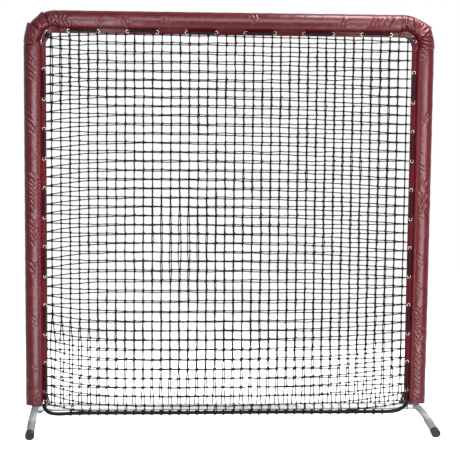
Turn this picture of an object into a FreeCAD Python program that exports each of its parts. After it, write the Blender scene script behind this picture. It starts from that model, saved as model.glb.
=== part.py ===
"""Padded ball-stop net for practice pitching, with slip-on feet.

Millimetres, +Z up, the front faces -Y. The origin is on the floor, midway between the feet.
"""

import FreeCAD
import Part
import Sketcher
import math
import os

SIZES = {
    # Frame tube
    "frame_span": 2040,
    "frame_rise": 2015,
    "tube_od": 34.9,
    "tube_wall": 1.65,
    "corner_bend": 135,
    "corner_tail": 80,
    "spigot_length": 70,
    "spigot_gap": 0.2,
    "swage_length": 6,
    "cope_gap": 0.15,
    # Legs and slip-on feet
    "leg_bend": 700,
    "leg_slope": 16.6,
    "stub_length": 155,
    "foot_length": 147,
    "foot_gap": 0.4,
    "foot_wall": 2.6,
    "cap_gap": 0.1,
    "cap_wall": 2.2,
    "cap_depth": 28,
    "cap_end": 5,
    "cap_chamfer": 2,
    "cap_flat": 2.2,
    "stop_gap": 0.3,
    # Pads
    "pad_radius": 47,
    "pad_lift": 2.5,
    "cover_thickness": 1.7,
    "foam_gap": 0.3,
    "corner_folds": 3,
    # Laced hem
    "hem_thickness": 1.5,
    "hem_margin": 1.5,
    "lace_od": 7,
    "lace_bevel": 3,
    "lace_gap": 0.5,
    "grommet_play": 1.5,
    "grommet_rim": 4,
    "grommet_proud": 1.2,
    "grommet_gap": 0.1,
    "side_grommets": 12,
    "top_grommets": 12,
    "side_lace_start": 88,
    "side_lace_end": 115.6,
    "top_lace_end": 46.8,
    "tab_grommet_rise": 38,
    "tie_od": 5,
    "tie_bevel": 2.5,
    "low_tie_angle": 18,
    "high_tie_angle": 58,
    "knot_od": 18,
    "knot_length": 24,
    "corner_knot_length": 14,
    "knot_gap": 0.5,
    "round_sides": 6,
    # Nets and rope
    "net_thickness": 3,
    "net_strand": 3,
    "net_border": 4,
    "net_columns": 8,
    "net_rows": 8,
    "net_gap": 0.4,
    "net_lift": 4,
    "rope_od": 11,
    "rope_angle": 67,
    "rope_rest_inset": 165,
    "rope_turn_inset": 125,
    "rope_turn_angle": 46,
    "rope_turn_proud": 5,
    "rope_rise_inset": 90,
    "rope_rise_angle": 15,
    "rope_rise_proud": 6.5,
    "rope_tail": 24,
    "lashing_od": 3,
}

doc = FreeCAD.newDocument("PitchingNet")
sheet = doc.addObject("Spreadsheet::Sheet", "Sizes")
for row, (alias, size) in enumerate(SIZES.items(), start=1):
    sheet.set(f"A{row}", str(size))
    sheet.setAlias(f"A{row}", alias)
doc.recompute()

# Sizes that follow from the ones above
TUBE = "Sizes.tube_od / 2"
BORE = f"({TUBE} - Sizes.tube_wall)"
SPIGOT = f"({BORE} - Sizes.spigot_gap)"
COPE = f"({TUBE} + Sizes.cope_gap)"
FOOT_BORE = f"({TUBE} + Sizes.foot_gap)"
FOOT = f"({FOOT_BORE} + Sizes.foot_wall)"
CAP_BORE = f"({FOOT} + Sizes.cap_gap)"
CAP = f"({CAP_BORE} + Sizes.cap_wall)"
SEAT = "(Sizes.stub_length + Sizes.stop_gap)"
CAP_TIP = f"({SEAT} + Sizes.cap_end)"
BEND_END = f"({CAP} * cos(Sizes.leg_slope) - Sizes.cap_flat + {CAP_TIP} * sin(Sizes.leg_slope))"
RAIL = f"({BEND_END} + Sizes.leg_bend * (1 - cos(Sizes.leg_slope)))"
CORNER_RISE = "(Sizes.frame_rise - Sizes.corner_bend)"
CORNER_REACH = "(Sizes.frame_span / 2 - Sizes.corner_bend)"
PAD_START = f"({TUBE} + Sizes.pad_lift)"
COVER_BORE = "(Sizes.pad_radius - Sizes.cover_thickness)"
FOAM = f"({COVER_BORE} - Sizes.foam_gap)"
FOLD_TURN = "(90 / Sizes.corner_folds)"
FOLD_PROUD = f"(Sizes.corner_bend * (1 / cos({FOLD_TURN} / 2) - 1))"
GROMMET_BORE = "(Sizes.lace_od / 2 + Sizes.grommet_play)"
GROMMET = f"({GROMMET_BORE} + Sizes.grommet_rim)"
NET_EDGE_ROOM = "(Sizes.net_border + 2 * Sizes.lace_gap + Sizes.lace_od / 2)"
LACE_LINE = f"(Sizes.pad_radius + max({GROMMET}; {NET_EDGE_ROOM}) + Sizes.lace_gap)"
HEM = f"({LACE_LINE} + {GROMMET} + Sizes.hem_margin)"
HEM_GAP = "(Sizes.net_gap / 2 + Sizes.net_thickness + Sizes.net_gap)"
HEM_HALF = f"({HEM_GAP} + Sizes.hem_thickness)"
GROMMET_HALF = f"({HEM_HALF} + Sizes.grommet_proud)"
SIDE_PITCH = f"(({CORNER_RISE} - Sizes.side_lace_end - Sizes.side_lace_start) / (Sizes.side_grommets - 1))"
TOP_HALF = f"({CORNER_REACH} - Sizes.top_lace_end)"
TOP_PITCH = f"(2 * {TOP_HALF} / (Sizes.top_grommets - 1))"
NET_EDGE = f"({LACE_LINE} - Sizes.lace_od / 2 - Sizes.lace_gap - Sizes.net_border)"
CORNER_LACE = f"(Sizes.corner_bend - {LACE_LINE})"

LEFT, RIGHT = -1, 1
FRONT, REAR = -1, 1
SIDES = {"left": LEFT, "right": RIGHT}
ENDS = {"front": FRONT, "rear": REAR}
nodes = {}


def value(expression):
    """The number that an expression on the sheet comes to."""
    return float(sheet.evalExpression(expression))


def times(sign, expression):
    return f"({sign} * {expression})"


def new_body(name):
    body = doc.addObject("PartDesign::Body", name)
    body.Label = name
    nodes[name] = body
    return body


def origin_part(body, role):
    return next(part for part in body.Origin.OriginFeatures if part.Role == role)


def place(thing, across="0", along="0", up="0"):
    """Bind a position, given as expressions along X, Y and Z."""
    for letter, expression in zip("xyz", (across, along, up)):
        thing.setExpression(f"Placement.Base.{letter}", expression)


def new_sketch(body, name, role):
    sketch = body.newObject("Sketcher::SketchObject", name)
    sketch.AttachmentSupport = [(origin_part(body, role), "")]
    sketch.MapMode = "FlatFace"
    return sketch


def bind(sketch, kind, references, expression):
    size = value(expression)
    index = sketch.addConstraint(Sketcher.Constraint(kind, *references, size))
    sketch.setExpression(f"Constraints[{index}]", expression)


def bind_point(sketch, edge, end, across, up):
    bind(sketch, "DistanceX", (-1, 1, edge, end), across)
    bind(sketch, "DistanceY", (-1, 1, edge, end), up)


def circles(body, name, role, radii, across="0", up="0"):
    """Sketch of circles with one centre."""
    sketch = new_sketch(body, name, role)
    centre = FreeCAD.Vector(value(across), value(up), 0)
    for radius in radii:
        edge = sketch.addGeometry(Part.Circle(centre, FreeCAD.Vector(0, 0, 1), value(radius)))
        bind(sketch, "Radius", (edge,), radius)
        bind_point(sketch, edge, 3, across, up)
    return sketch


def draw_edges(sketch, corners, closed=True):
    """Straight edges through corners, each a pair of expressions."""
    points = [FreeCAD.Vector(value(across), value(up), 0) for across, up in corners]
    ends = points[1:] + points[:1] if closed else points[1:]
    edges = []
    for start, end in zip(points, ends):
        edges.append(sketch.addGeometry(Part.LineSegment(start, end)))
    for before, after in zip(edges, edges[1:]):
        sketch.addConstraint(Sketcher.Constraint("Coincident", before, 2, after, 1))
    if closed:
        sketch.addConstraint(Sketcher.Constraint("Coincident", edges[-1], 2, edges[0], 1))
    for edge, (across, up) in zip(edges, corners):
        bind_point(sketch, edge, 1, across, up)
    if not closed:
        bind_point(sketch, edges[-1], 2, *corners[-1])


def outline(body, name, role, corners, closed=True):
    sketch = new_sketch(body, name, role)
    draw_edges(sketch, corners, closed)
    return sketch


def eyelet_sketch(body, name, radii, across, up):
    """Sketch across the hem of rings with a few flat sides, which keep small eyelets light."""
    sketch = new_sketch(body, name, "XZ_Plane")
    sides = int(value("Sizes.round_sides"))
    for radius in radii:
        corners = []
        for number in range(sides):
            angle = 360 * (number + 0.5) / sides
            corners.append((f"{across} + {radius} * cos({angle})", f"{up} + {radius} * sin({angle})"))
        draw_edges(sketch, corners)
    return sketch


def block(body, name, role, low, high):
    """Sketch of a rectangle between two opposite corners."""
    corners = [low, (high[0], low[1]), high, (low[0], high[1])]
    return outline(body, name, role, corners)


def pad(body, name, sketch, length, midplane=False, reverse=False):
    feature = body.newObject("PartDesign::Pad", name)
    feature.Profile = sketch
    feature.Midplane = midplane
    feature.Reversed = reverse
    feature.setExpression("Length", length)
    return feature


def pocket(body, name, sketch, midplane=False, reverse=False):
    feature = body.newObject("PartDesign::Pocket", name)
    feature.Profile = sketch
    feature.Type = "ThroughAll"
    feature.Midplane = midplane
    feature.Reversed = reverse
    return feature


def revolve(body, name, sketch, role, angle, midplane=False, reverse=False):
    feature = body.newObject("PartDesign::Revolution", name)
    feature.Profile = sketch
    feature.ReferenceAxis = (origin_part(body, role), [""])
    feature.Midplane = midplane
    feature.Reversed = reverse
    feature.setExpression("Angle", angle)
    return feature


def row_of(body, name, features, role, count, length):
    """Straight row of copies of some features, the first at the features themselves."""
    pattern = body.newObject("PartDesign::LinearPattern", name)
    pattern.Originals = features
    pattern.Direction = (origin_part(body, role), [""])
    pattern.setExpression("Length", length)
    pattern.setExpression("Occurrences", count)
    body.Tip = pattern
    return pattern


def sweep(body, name, kind, profile, spine):
    feature = body.newObject(kind, name)
    feature.Profile = profile
    feature.Spine = (spine, [])
    feature.Transition = "Right corner"
    return feature


def solid_node(name, shape):
    """Sub-part whose shape is worked out in this file from the sheet."""
    feature = doc.addObject("Part::Feature", name)
    feature.Label = name
    feature.Shape = shape
    feature.Placement.Base.z = value(RAIL)
    nodes[name] = feature
    return feature


def make_upright(name, side):
    """Upright, top bend and short tail in one tube, coped on to the leg arch at its foot."""
    body = new_body(name)
    across = times(side, "Sizes.corner_bend")
    section = circles(body, name + "_section", "XY_Plane", [TUBE, BORE], across)
    pad(body, name + "_straight", section, CORNER_RISE, reverse=True)
    bend = circles(body, name + "_bend_section", "XY_Plane", [TUBE, BORE], across)
    revolve(body, name + "_bend", bend, "Y_Axis", "90", reverse=side == RIGHT)
    tail = circles(body, name + "_tail_section", "YZ_Plane", [TUBE, BORE], up="Sizes.corner_bend")
    pad(body, name + "_tail", tail, "Sizes.corner_tail", reverse=side == RIGHT)
    cope = circles(body, name + "_cope_section", "XZ_Plane", [COPE], across, times(-1, CORNER_RISE))
    pocket(body, name + "_cope", cope, midplane=True)
    place(body, times(side, CORNER_REACH), up=f"{RAIL} + {CORNER_RISE}")


def make_top_rail():
    """Straight tube whose swaged ends slip into the tails of the two uprights."""
    body = new_body("top_rail")
    shoulder = f"({CORNER_REACH} - Sizes.corner_tail - Sizes.stop_gap)"
    tip = f"({shoulder} + Sizes.spigot_length)"
    neck = f"({shoulder} - Sizes.swage_length)"
    flare = f"({neck} - Sizes.swage_length)"
    spigot_bore = f"({SPIGOT} - Sizes.tube_wall)"
    half = [(tip, spigot_bore), (tip, SPIGOT), (shoulder, SPIGOT), (shoulder, TUBE)]
    inside = [(flare, BORE), (neck, spigot_bore)]
    corners = [(times(-1, along), radius) for along, radius in half] + half[::-1]
    corners += inside[::-1] + [(times(-1, along), radius) for along, radius in inside]
    section = outline(body, "top_rail_section", "XZ_Plane", corners)
    revolve(body, "top_rail_turned", section, "X_Axis", "360")
    place(body, up=f"{RAIL} + Sizes.frame_rise")


def make_bottom_rail():
    """Rail whose ends are coped to the leg arches and to the uprights above them."""
    body = new_body("bottom_rail")
    section = circles(body, "bottom_rail_section", "YZ_Plane", [TUBE, BORE])
    pad(body, "bottom_rail_tube", section, "Sizes.frame_span", midplane=True)
    for name, side in SIDES.items():
        across = times(side, "Sizes.frame_span / 2")
        arch_cope = circles(body, name + "_arch_cope_section", "XZ_Plane", [COPE], across)
        pocket(body, name + "_arch_cope", arch_cope, midplane=True)
        upright_cope = circles(body, name + "_upright_cope_section", "XY_Plane", [COPE], across)
        pocket(body, name + "_upright_cope", upright_cope, reverse=True)
    place(body, up=RAIL)


def make_leg_arch(name, side):
    """Bent tube that crosses under the upright, with a straight stub for each foot."""
    body = new_body(name)
    crown = circles(body, name + "_crown", "XZ_Plane", [TUBE, BORE], up="Sizes.leg_bend")
    revolve(body, name + "_bend", crown, "X_Axis", "2 * Sizes.leg_slope", midplane=True)
    for end_name, end in ENDS.items():
        stub = circles(body, f"{name}_{end_name}_section", "XZ_Plane", [TUBE, BORE], up="Sizes.leg_bend")
        tilt = times(-end, "Sizes.leg_slope")
        turn = FreeCAD.Rotation(FreeCAD.Vector(1, 0, 0), value(tilt))
        stub.AttachmentOffset = FreeCAD.Placement(FreeCAD.Vector(), turn)
        stub.setExpression("AttachmentOffset.Rotation.Angle", tilt)
        pad(body, f"{name}_{end_name}_stub", stub, "Sizes.stub_length", reverse=end == REAR)
    place(body, times(side, "Sizes.frame_span / 2"), up=f"{RAIL} - Sizes.leg_bend")


def lay_on_stub(body, side, end):
    """Put a body's Z axis on the axis of a stub, its origin where the leg's bend ends."""
    turn = times(-end, "(90 + Sizes.leg_slope)")
    body.Placement.Rotation = FreeCAD.Rotation(FreeCAD.Vector(1, 0, 0), value(turn))
    body.setExpression("Placement.Rotation.Angle", turn)
    reach = times(end, "Sizes.leg_bend * sin(Sizes.leg_slope)")
    place(body, times(side, "Sizes.frame_span / 2"), reach, BEND_END)


def make_foot(name, side, end):
    """Wider tube that slips over a stub, closed by a rubber cap that meets the stub's end."""
    tube = new_body(name + "_foot_tube")
    section = circles(tube, name + "_foot_section", "XY_Plane", [FOOT_BORE, FOOT])
    section.setExpression("AttachmentOffset.Base.z", SEAT)
    pad(tube, name + "_foot_sleeve", section, "Sizes.foot_length", reverse=True)
    lay_on_stub(tube, side, end)

    cap = new_body(name + "_foot_cap")
    lip = f"({SEAT} - Sizes.cap_depth)"
    bevel = "Sizes.cap_chamfer"
    corners = [("0", SEAT), (CAP_BORE, SEAT), (CAP_BORE, lip), (CAP, lip)]
    corners += [(CAP, f"{CAP_TIP} - {bevel}"), (f"{CAP} - {bevel}", CAP_TIP), ("0", CAP_TIP)]
    cup = outline(cap, name + "_cap_section", "XZ_Plane", corners)
    revolve(cap, name + "_cap_cup", cup, "Z_Axis", "360")
    floor = []
    for along in (f"({lip} - {CAP})", f"({CAP_TIP} + {CAP})"):
        drop = f"(({BEND_END} - {along} * sin(Sizes.leg_slope)) / cos(Sizes.leg_slope))"
        floor.append((times(end, drop), along))
    below = [(f"({across} + {times(end, CAP)})", along) for across, along in floor]
    under_floor = outline(cap, name + "_cap_floor", "YZ_Plane", floor + below[::-1])
    pocket(cap, name + "_cap_flat", under_floor, midplane=True)
    lay_on_stub(cap, side, end)


def make_straight_pad(name, plane, inward, length, midplane, holes):
    """Foam sleeve and wrapped cover whose two hems reach towards the net.

    inward is the hem's direction along the plane's first axis, or 0 where the hem points down
    the plane's second axis. Each hole is a name, the place of its first hole and its row.
    """
    foam = new_body(name + "_foam")
    sleeve = circles(foam, name + "_foam_section", plane, [FOAM, f"{TUBE} + Sizes.foam_gap"])
    pad(foam, name + "_foam_sleeve", sleeve, length, midplane)

    cover = new_body(name + "_cover")
    wrap = circles(cover, name + "_wrap_section", plane, ["Sizes.pad_radius"])
    pad(cover, name + "_wrap", wrap, length, midplane)
    for part, reach, half in (("hem", HEM, HEM_HALF), ("hem_gap", f"({HEM} + Sizes.hem_margin)", HEM_GAP)):
        if inward:
            low, high = ("0", times(-1, half)), (times(inward, reach), half)
        else:
            low, high = (times(-1, half), "0"), (half, times(-1, reach))
        strip = block(cover, f"{name}_{part}_section", plane, low, high)
        if part == "hem":
            pad(cover, f"{name}_{part}", strip, length, midplane)
            hollow = circles(cover, name + "_hollow_section", plane, [COVER_BORE])
            pocket(cover, name + "_hollow", hollow, midplane, reverse=not midplane)
        else:
            pocket(cover, f"{name}_{part}", strip, midplane, reverse=not midplane)
    for hole_name, across, up, role, count, run in holes:
        hole = eyelet_sketch(cover, hole_name + "_section", [f"({GROMMET} + Sizes.grommet_gap)"], across, up)
        first = pocket(cover, hole_name, hole, midplane=True)
        if role:
            row_of(cover, hole_name + "_row", [first], role, count, run)
    return foam, cover


def make_grommets(name, rows):
    """Group of eyelets, one in each hem at every hole. Rows are given as for the holes."""
    body = new_body(name)
    body.AllowCompound = True
    for row_name, across, up, role, count, run in rows:
        pair = []
        for end_name, end in ENDS.items():
            ring = eyelet_sketch(body, f"{row_name}_{end_name}_ring", [GROMMET, GROMMET_BORE], across, up)
            ring.setExpression("AttachmentOffset.Base.z", times(-end, HEM_GAP))
            thickness = "Sizes.hem_thickness + Sizes.grommet_proud"
            pair.append(pad(body, f"{row_name}_{end_name}_eyelet", ring, thickness, reverse=end == REAR))
        if role:
            row_of(body, row_name + "_eyelets", pair, role, count, run)
    return body


def make_side_pad(name, side):
    length = f"({CORNER_RISE} - {PAD_START})"
    across = times(-side, LACE_LINE)
    run = times(SIDE_PITCH, "(Sizes.side_grommets - 1)")
    first = f"(Sizes.side_lace_start - {PAD_START})"
    tab = f"(Sizes.tab_grommet_rise - {PAD_START})"
    rows = [("tab", across, tab, "", "", ""), ("lace", across, first, "Z_Axis", "Sizes.side_grommets", run)]
    named = [(f"{name}_{part}", *rest) for part, *rest in rows]
    foam, cover = make_straight_pad(name, "XY_Plane", -side, length, False, named)
    grommets = make_grommets(name + "_grommets", named)
    for body in (foam, cover, grommets):
        place(body, times(side, "Sizes.frame_span / 2"), up=f"{RAIL} + {PAD_START}")


def make_top_pad():
    run = times(TOP_PITCH, "(Sizes.top_grommets - 1)")
    count = "Sizes.top_grommets"
    rows = [("top_lace", times(-1, TOP_HALF), times(-1, LACE_LINE), "X_Axis", count, run)]
    foam, cover = make_straight_pad("top", "YZ_Plane", 0, times(2, CORNER_REACH), True, rows)
    grommets = make_grommets("top_grommets", rows)
    for body in (foam, cover, grommets):
        place(body, up=f"{RAIL} + Sizes.frame_rise")


def corner_route(body, name, side):
    """Line round the top bend in as many equal folds as the padding takes."""
    folds = int(value("Sizes.corner_folds"))
    corners = [(times(side, "Sizes.corner_bend"), "0")]
    for fold in range(folds):
        angle = f"({FOLD_TURN} * {fold + 0.5})"
        reach = f"(Sizes.corner_bend / cos({FOLD_TURN} / 2))"
        corners.append((times(side, f"{reach} * cos({angle})"), f"{reach} * sin({angle})"))
    corners.append(("0", "Sizes.corner_bend"))
    return outline(body, name, "XZ_Plane", corners, closed=False)


def make_corner_pad(name, side):
    """Folded foam elbow and cover, laced at two grommets, round the tube's top bend."""
    foam = new_body(name + "_corner_foam")
    across = times(side, "Sizes.corner_bend")
    bore = f"({TUBE} + {FOLD_PROUD} + Sizes.foam_gap)"
    ring = circles(foam, name + "_elbow_section", "XY_Plane", [FOAM, bore], across)
    route = corner_route(foam, name + "_elbow_route", side)
    sweep(foam, name + "_elbow", "PartDesign::AdditivePipe", ring, route)

    cover = new_body(name + "_corner_cover")
    shapes = [("wrap", "Sizes.pad_radius", HEM, HEM_HALF, "PartDesign::AdditivePipe")]
    shapes += [("hollow", COVER_BORE, f"({HEM} + Sizes.hem_margin)", HEM_GAP, "PartDesign::SubtractivePipe")]
    for part, radius, reach, half, kind in shapes:
        wrap = circles(cover, f"{name}_{part}_disc", "XY_Plane", [radius], across)
        route = corner_route(cover, f"{name}_{part}_route", side)
        sweep(cover, f"{name}_{part}_elbow", kind, wrap, route)
        inner = times(side, f"(Sizes.corner_bend - {reach})")
        strip = block(cover, f"{name}_{part}_strip", "XY_Plane", (across, times(-1, half)), (inner, half))
        hem_route = corner_route(cover, f"{name}_{part}_hem_route", side)
        sweep(cover, f"{name}_{part}_hem", kind, strip, hem_route)
    rows = []
    for part in ("low", "high"):
        angle = f"Sizes.{part}_tie_angle"
        spot = (times(side, f"{CORNER_LACE} * cos({angle})"), f"{CORNER_LACE} * sin({angle})")
        rows.append((f"{name}_{part}_tie", *spot, "", "", ""))
    for hole_name, spot_across, spot_up, *_ in rows:
        size = [f"({GROMMET} + Sizes.grommet_gap)"]
        hole = eyelet_sketch(cover, hole_name + "_hole_section", size, spot_across, spot_up)
        pocket(cover, hole_name + "_hole", hole, midplane=True)
    grommets = make_grommets(name + "_corner_grommets", rows)
    for body in (foam, cover, grommets):
        place(body, times(side, CORNER_REACH), up=f"{RAIL} + {CORNER_RISE}")


def rounded_path(points, radii, closed=False):
    """Straight runs joined by tangent arcs, as a list of edges."""
    count = len(points)
    turns = range(count) if closed else range(1, count - 1)
    cuts = {}
    for index in turns:
        before, here, after = points[index - 1], points[index], points[(index + 1) % count]
        back = (before - here).normalize()
        ahead = (after - here).normalize()
        half = back.getAngle(ahead) / 2
        trim = radii[index] / math.tan(half)
        middle = here + (back + ahead).normalize() * (radii[index] / math.sin(half) - radii[index])
        cuts[index] = (here + back * trim, middle, here + ahead * trim)
    edges = []
    for index in range(count if closed else count - 1):
        after = (index + 1) % count
        start = cuts[index][2] if index in cuts else points[index]
        end = cuts[after][0] if after in cuts else points[after]
        edges.append(Part.LineSegment(start, end).toShape())
        if after in cuts:
            edges.append(Part.Arc(*cuts[after]).toShape())
    return edges


def sided_section(start, along, radius):
    """Outline with flat sides, square to a cord at its start, one corner towards the front."""
    sides = int(value("Sizes.round_sides"))
    front = FreeCAD.Vector(0, -1, 0)
    if abs(along.dot(front)) > 0.5:
        front = FreeCAD.Vector(0, 0, 1)
    front = (front - along * along.dot(front)).normalize()
    spokes = []
    for number in range(sides):
        turn = FreeCAD.Rotation(along, 360 * number / sides)
        spokes.append(start + turn.multVec(front) * radius)
    return Part.makePolygon(spokes + spokes[:1])


def check_cord(name, tube, section, spine, turns):
    error = tube.Volume / (Part.Face(section).Area * spine.Length) - 1
    print(f"{name}: {turns}, volume off by {100 * error:.2f} %")


def free_cord(name, points, radii, diameter):
    """Cord with flat sides along straight runs joined by tangent arcs."""
    spine = Part.Wire(rounded_path(points, radii))
    along = (points[1] - points[0]).normalize()
    section = sided_section(points[0], along, diameter / 2)
    tube = spine.makePipeShell([section], True, False)
    check_cord(name, tube, section, spine, f"bend radii {min(radii[1:-1]):.1f} to {max(radii):.1f} mm")
    return tube


def laced_cord(name, points, bevel, diameter):
    """Cord with flat sides that turns over the rim of each eyelet by a short bevel."""
    route = points[:1]
    for before, here, after in zip(points, points[1:], points[2:]):
        back = (before - here).normalize()
        ahead = (after - here).normalize()
        route += [here + back * bevel, here + ahead * bevel]
    route.append(points[-1])
    spine = Part.makePolygon(route)
    along = (points[1] - points[0]).normalize()
    section = sided_section(points[0], along, diameter / 2)
    tube = spine.makePipeShell([section], True, False, 1)
    check_cord(name, tube, section, spine, f"{len(points) - 2} turns")
    return tube


def easy_radii(points):
    """Large arcs that still leave a short straight between one turn of a cord and the next."""
    cut = 0.45  # share of the shorter run that a turn takes up
    radii = [0] * len(points)
    for index in range(1, len(points) - 1):
        before, here, after = points[index - 1:index + 2]
        turn = (here - before).getAngle(after - here)
        shorter = min(here.distanceToPoint(before), here.distanceToPoint(after))
        radii[index] = cut * shorter / math.tan(turn / 2)
    return radii


def lace_stitches(places, depth, first_back, lead_in, lead_out):
    """Running stitch: a list of (run, depth) pairs through the grommets at the given places."""
    side = 1 if first_back else -1
    stitches = [(places[0] - lead_in, side * depth)]
    for spot in places:
        stitches += [(spot, side * depth), (spot, -side * depth)]
        side = -side
    stitches.append((places[-1] + lead_out, side * depth))
    return stitches


def lace_depth():
    return value(GROMMET_HALF) + value("Sizes.lace_od") / 2 + value("Sizes.lace_gap")


def tie_depth():
    return value(GROMMET_HALF) + value("Sizes.tie_od") / 2 + value("Sizes.stop_gap")


def make_side_lace(name, side):
    """Lace down a side: behind the top grommet, then in front and behind by turns."""
    count = int(value("Sizes.side_grommets"))
    low = value("Sizes.side_lace_start")
    pitch = value(SIDE_PITCH)
    knot_top = low + value("Sizes.knot_od") / 2
    places = [low + pitch * number for number in range(count - 1, 0, -1)]
    covered = 0.8  # share of the way from the top grommet to the bend that the lace runs on
    lead = covered * value("Sizes.side_lace_end")
    stitches = lace_stitches([-spot for spot in places], lace_depth(), True, lead, pitch - (knot_top - low))
    across = side * (value("Sizes.frame_span / 2") - value(LACE_LINE))
    points = [FreeCAD.Vector(across, depth, -run) for run, depth in stitches]
    solid_node(name, laced_cord(name, points, value("Sizes.lace_bevel"), value("Sizes.lace_od")))


def make_top_lace():
    """Lace along the top, in front between the grommets of each pair."""
    count = int(value("Sizes.top_grommets"))
    half = value(TOP_HALF)
    pitch = value(TOP_PITCH)
    places = [-half + pitch * number for number in range(count)]
    lead = value("Sizes.top_lace_end")
    stitches = lace_stitches(places, lace_depth(), True, lead, lead)
    up = value("Sizes.frame_rise") - value(LACE_LINE)
    points = [FreeCAD.Vector(run, depth, up) for run, depth in stitches]
    solid_node("top_lace", laced_cord("top_lace", points, value("Sizes.lace_bevel"), value("Sizes.lace_od")))


def tied_loop(name, low, high, length):
    """Cord through two grommets, its ends buried in a knot on the run in front of the hem."""
    depth = FreeCAD.Vector(0, tie_depth(), 0)
    middle = (low + high) / 2 - depth
    along = (high - low).normalize()
    apart = along * length / 4  # each end stops halfway through its side of the knot
    points = [middle + apart, high - depth, high + depth, low + depth, low - depth, middle - apart]
    loop = laced_cord(name, points, value("Sizes.tie_bevel"), value("Sizes.tie_od"))
    radius = value("Sizes.knot_od") / 2
    front = value(GROMMET_HALF) + radius + value("Sizes.knot_gap")
    foot = FreeCAD.Vector(middle.x, -front, middle.z) - along * length / 2
    knot = Part.Face(sided_section(foot, along, radius)).extrude(along * length)
    solid_node(name, loop.fuse(knot))


def make_corner_tie(name, side):
    spots = [FreeCAD.Vector(side * across, 0, up) for across, up in corner_tie_spots()]
    tied_loop(name, *spots, value("Sizes.corner_knot_length"))


def end_knot_span():
    """Lowest and highest point of the knot at the foot of each side."""
    middle = (value("Sizes.side_lace_start") + value("Sizes.tab_grommet_rise")) / 2
    half = value("Sizes.knot_length") / 2
    return middle - half, middle + half


def make_end_tie(name, side):
    across = side * (value("Sizes.frame_span / 2") - value(LACE_LINE))
    low = FreeCAD.Vector(across, 0, value("Sizes.tab_grommet_rise"))
    high = FreeCAD.Vector(across, 0, value("Sizes.side_lace_start"))
    tied_loop(name, low, high, value("Sizes.knot_length"))


def make_border_rope():
    """Rope under the rail that comes round in front of it at each end and rises to the knot."""
    clear = value(TUBE) + value("Sizes.rope_od") / 2 + value("Sizes.stop_gap")
    line = value("Sizes.frame_span / 2")
    lace_line = value(LACE_LINE)
    front = tie_depth() + value("(Sizes.tie_od + Sizes.rope_od) / 2 + Sizes.stop_gap")
    knot_foot = end_knot_span()[0] - value("Sizes.stop_gap")
    stages = [(value("Sizes.rope_rest_inset"), value("Sizes.rope_angle"), 0)]
    for stage in ("turn", "rise"):
        stages.append([value(f"Sizes.rope_{stage}_{size}") for size in ("inset", "angle", "proud")])
    half = []
    for inset, angle, proud in stages:
        turn = math.radians(angle)
        reach = clear + proud
        half.append((line - inset, -reach * math.cos(turn), -reach * math.sin(turn)))
    half.append((line - lace_line, -front, knot_foot - value("Sizes.rope_tail")))
    half.append((line - lace_line, -front, knot_foot))
    left = [FreeCAD.Vector(-across, along, up) for across, along, up in half[::-1]]
    right = [FreeCAD.Vector(*spot) for spot in half]
    points = left + right
    rope = free_cord("border_rope", points, easy_radii(points), value("Sizes.rope_od"))
    solid_node("border_rope", rope)


def wrapped_face(rounds):
    """Face inside a tight band round circles, each a centre and a radius, with two flats a turn."""
    leans = []
    for (start, start_radius), (end, end_radius) in zip(rounds, rounds[1:] + rounds[:1]):
        along = end - start
        heading = math.atan2(along.z, along.y)
        leans.append(heading - math.acos((start_radius - end_radius) / along.Length))
    corners = []
    for index, (centre, radius) in enumerate(rounds):
        arrive = leans[index - 1]
        turn = (leans[index] - arrive) % (2 * math.pi)
        for share in (0.25, 0.75):
            angle = arrive + turn * share
            reach = radius / math.cos(turn / 4)
            corners.append(centre + FreeCAD.Vector(0, math.cos(angle), math.sin(angle)) * reach)
    return Part.Face(Part.makePolygon(corners + corners[:1]))


def make_rail_lashings():
    """Loops that tie the lower edge of both nets round the rail to the rope."""
    gap = value("Sizes.stop_gap")
    rope = value("Sizes.rope_od / 2")
    reach = value(TUBE) + rope + gap
    turn = math.radians(value("Sizes.rope_angle"))
    rope_spot = FreeCAD.Vector(0, -reach * math.cos(turn), -reach * math.sin(turn))
    rail_spot = FreeCAD.Vector(0, 0, 0)
    net_top = value(TUBE) + value("Sizes.net_lift") + value("Sizes.net_border")
    net_reach = value("Sizes.net_gap") / 2 + value("Sizes.net_thickness")
    net_spot = FreeCAD.Vector(0, 0, net_top)
    width = value("Sizes.lashing_od")
    bands = []
    for extra in (gap, gap + width):
        rail_round = (rail_spot, value(TUBE) + extra)
        rounds = [(net_spot, net_reach + extra), rail_round, (rope_spot, rope + extra), rail_round]
        bands.append(wrapped_face(rounds))
    loop = bands[1].cut(bands[0]).extrude(FreeCAD.Vector(width, 0, 0))
    half = value(TOP_HALF)
    pitch = value(TOP_PITCH)
    loops = []
    for number in range(int(value("Sizes.top_grommets"))):
        loops.append(loop.translated(FreeCAD.Vector(-half + pitch * number - width / 2, 0, 0)))
    solid_node("rail_lashings", Part.makeCompound(loops))


def net_outline(edge, foot):
    """Wire of the net's edge: square below, rounded at the top to follow the frame."""
    reach = value("Sizes.frame_span / 2") - edge
    top = value("Sizes.frame_rise") - edge
    radius = value("Sizes.corner_bend") - edge
    spots = [(-reach, foot), (-reach, top), (reach, top), (reach, foot)]
    points = [FreeCAD.Vector(across, 0, up) for across, up in spots]
    return Part.Wire(rounded_path(points, [0, radius, radius, 0]) + [Part.LineSegment(points[3], points[0]).toShape()])


def corner_tie_spots():
    """Where the corner ties pass through the hem, measured from the frame's middle and the rail."""
    spots = []
    for part in ("low", "high"):
        angle = math.radians(value(f"Sizes.{part}_tie_angle"))
        reach = value(CORNER_LACE)
        spots.append((value(CORNER_REACH) + reach * math.cos(angle), value(CORNER_RISE) + reach * math.sin(angle)))
    return spots


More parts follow.
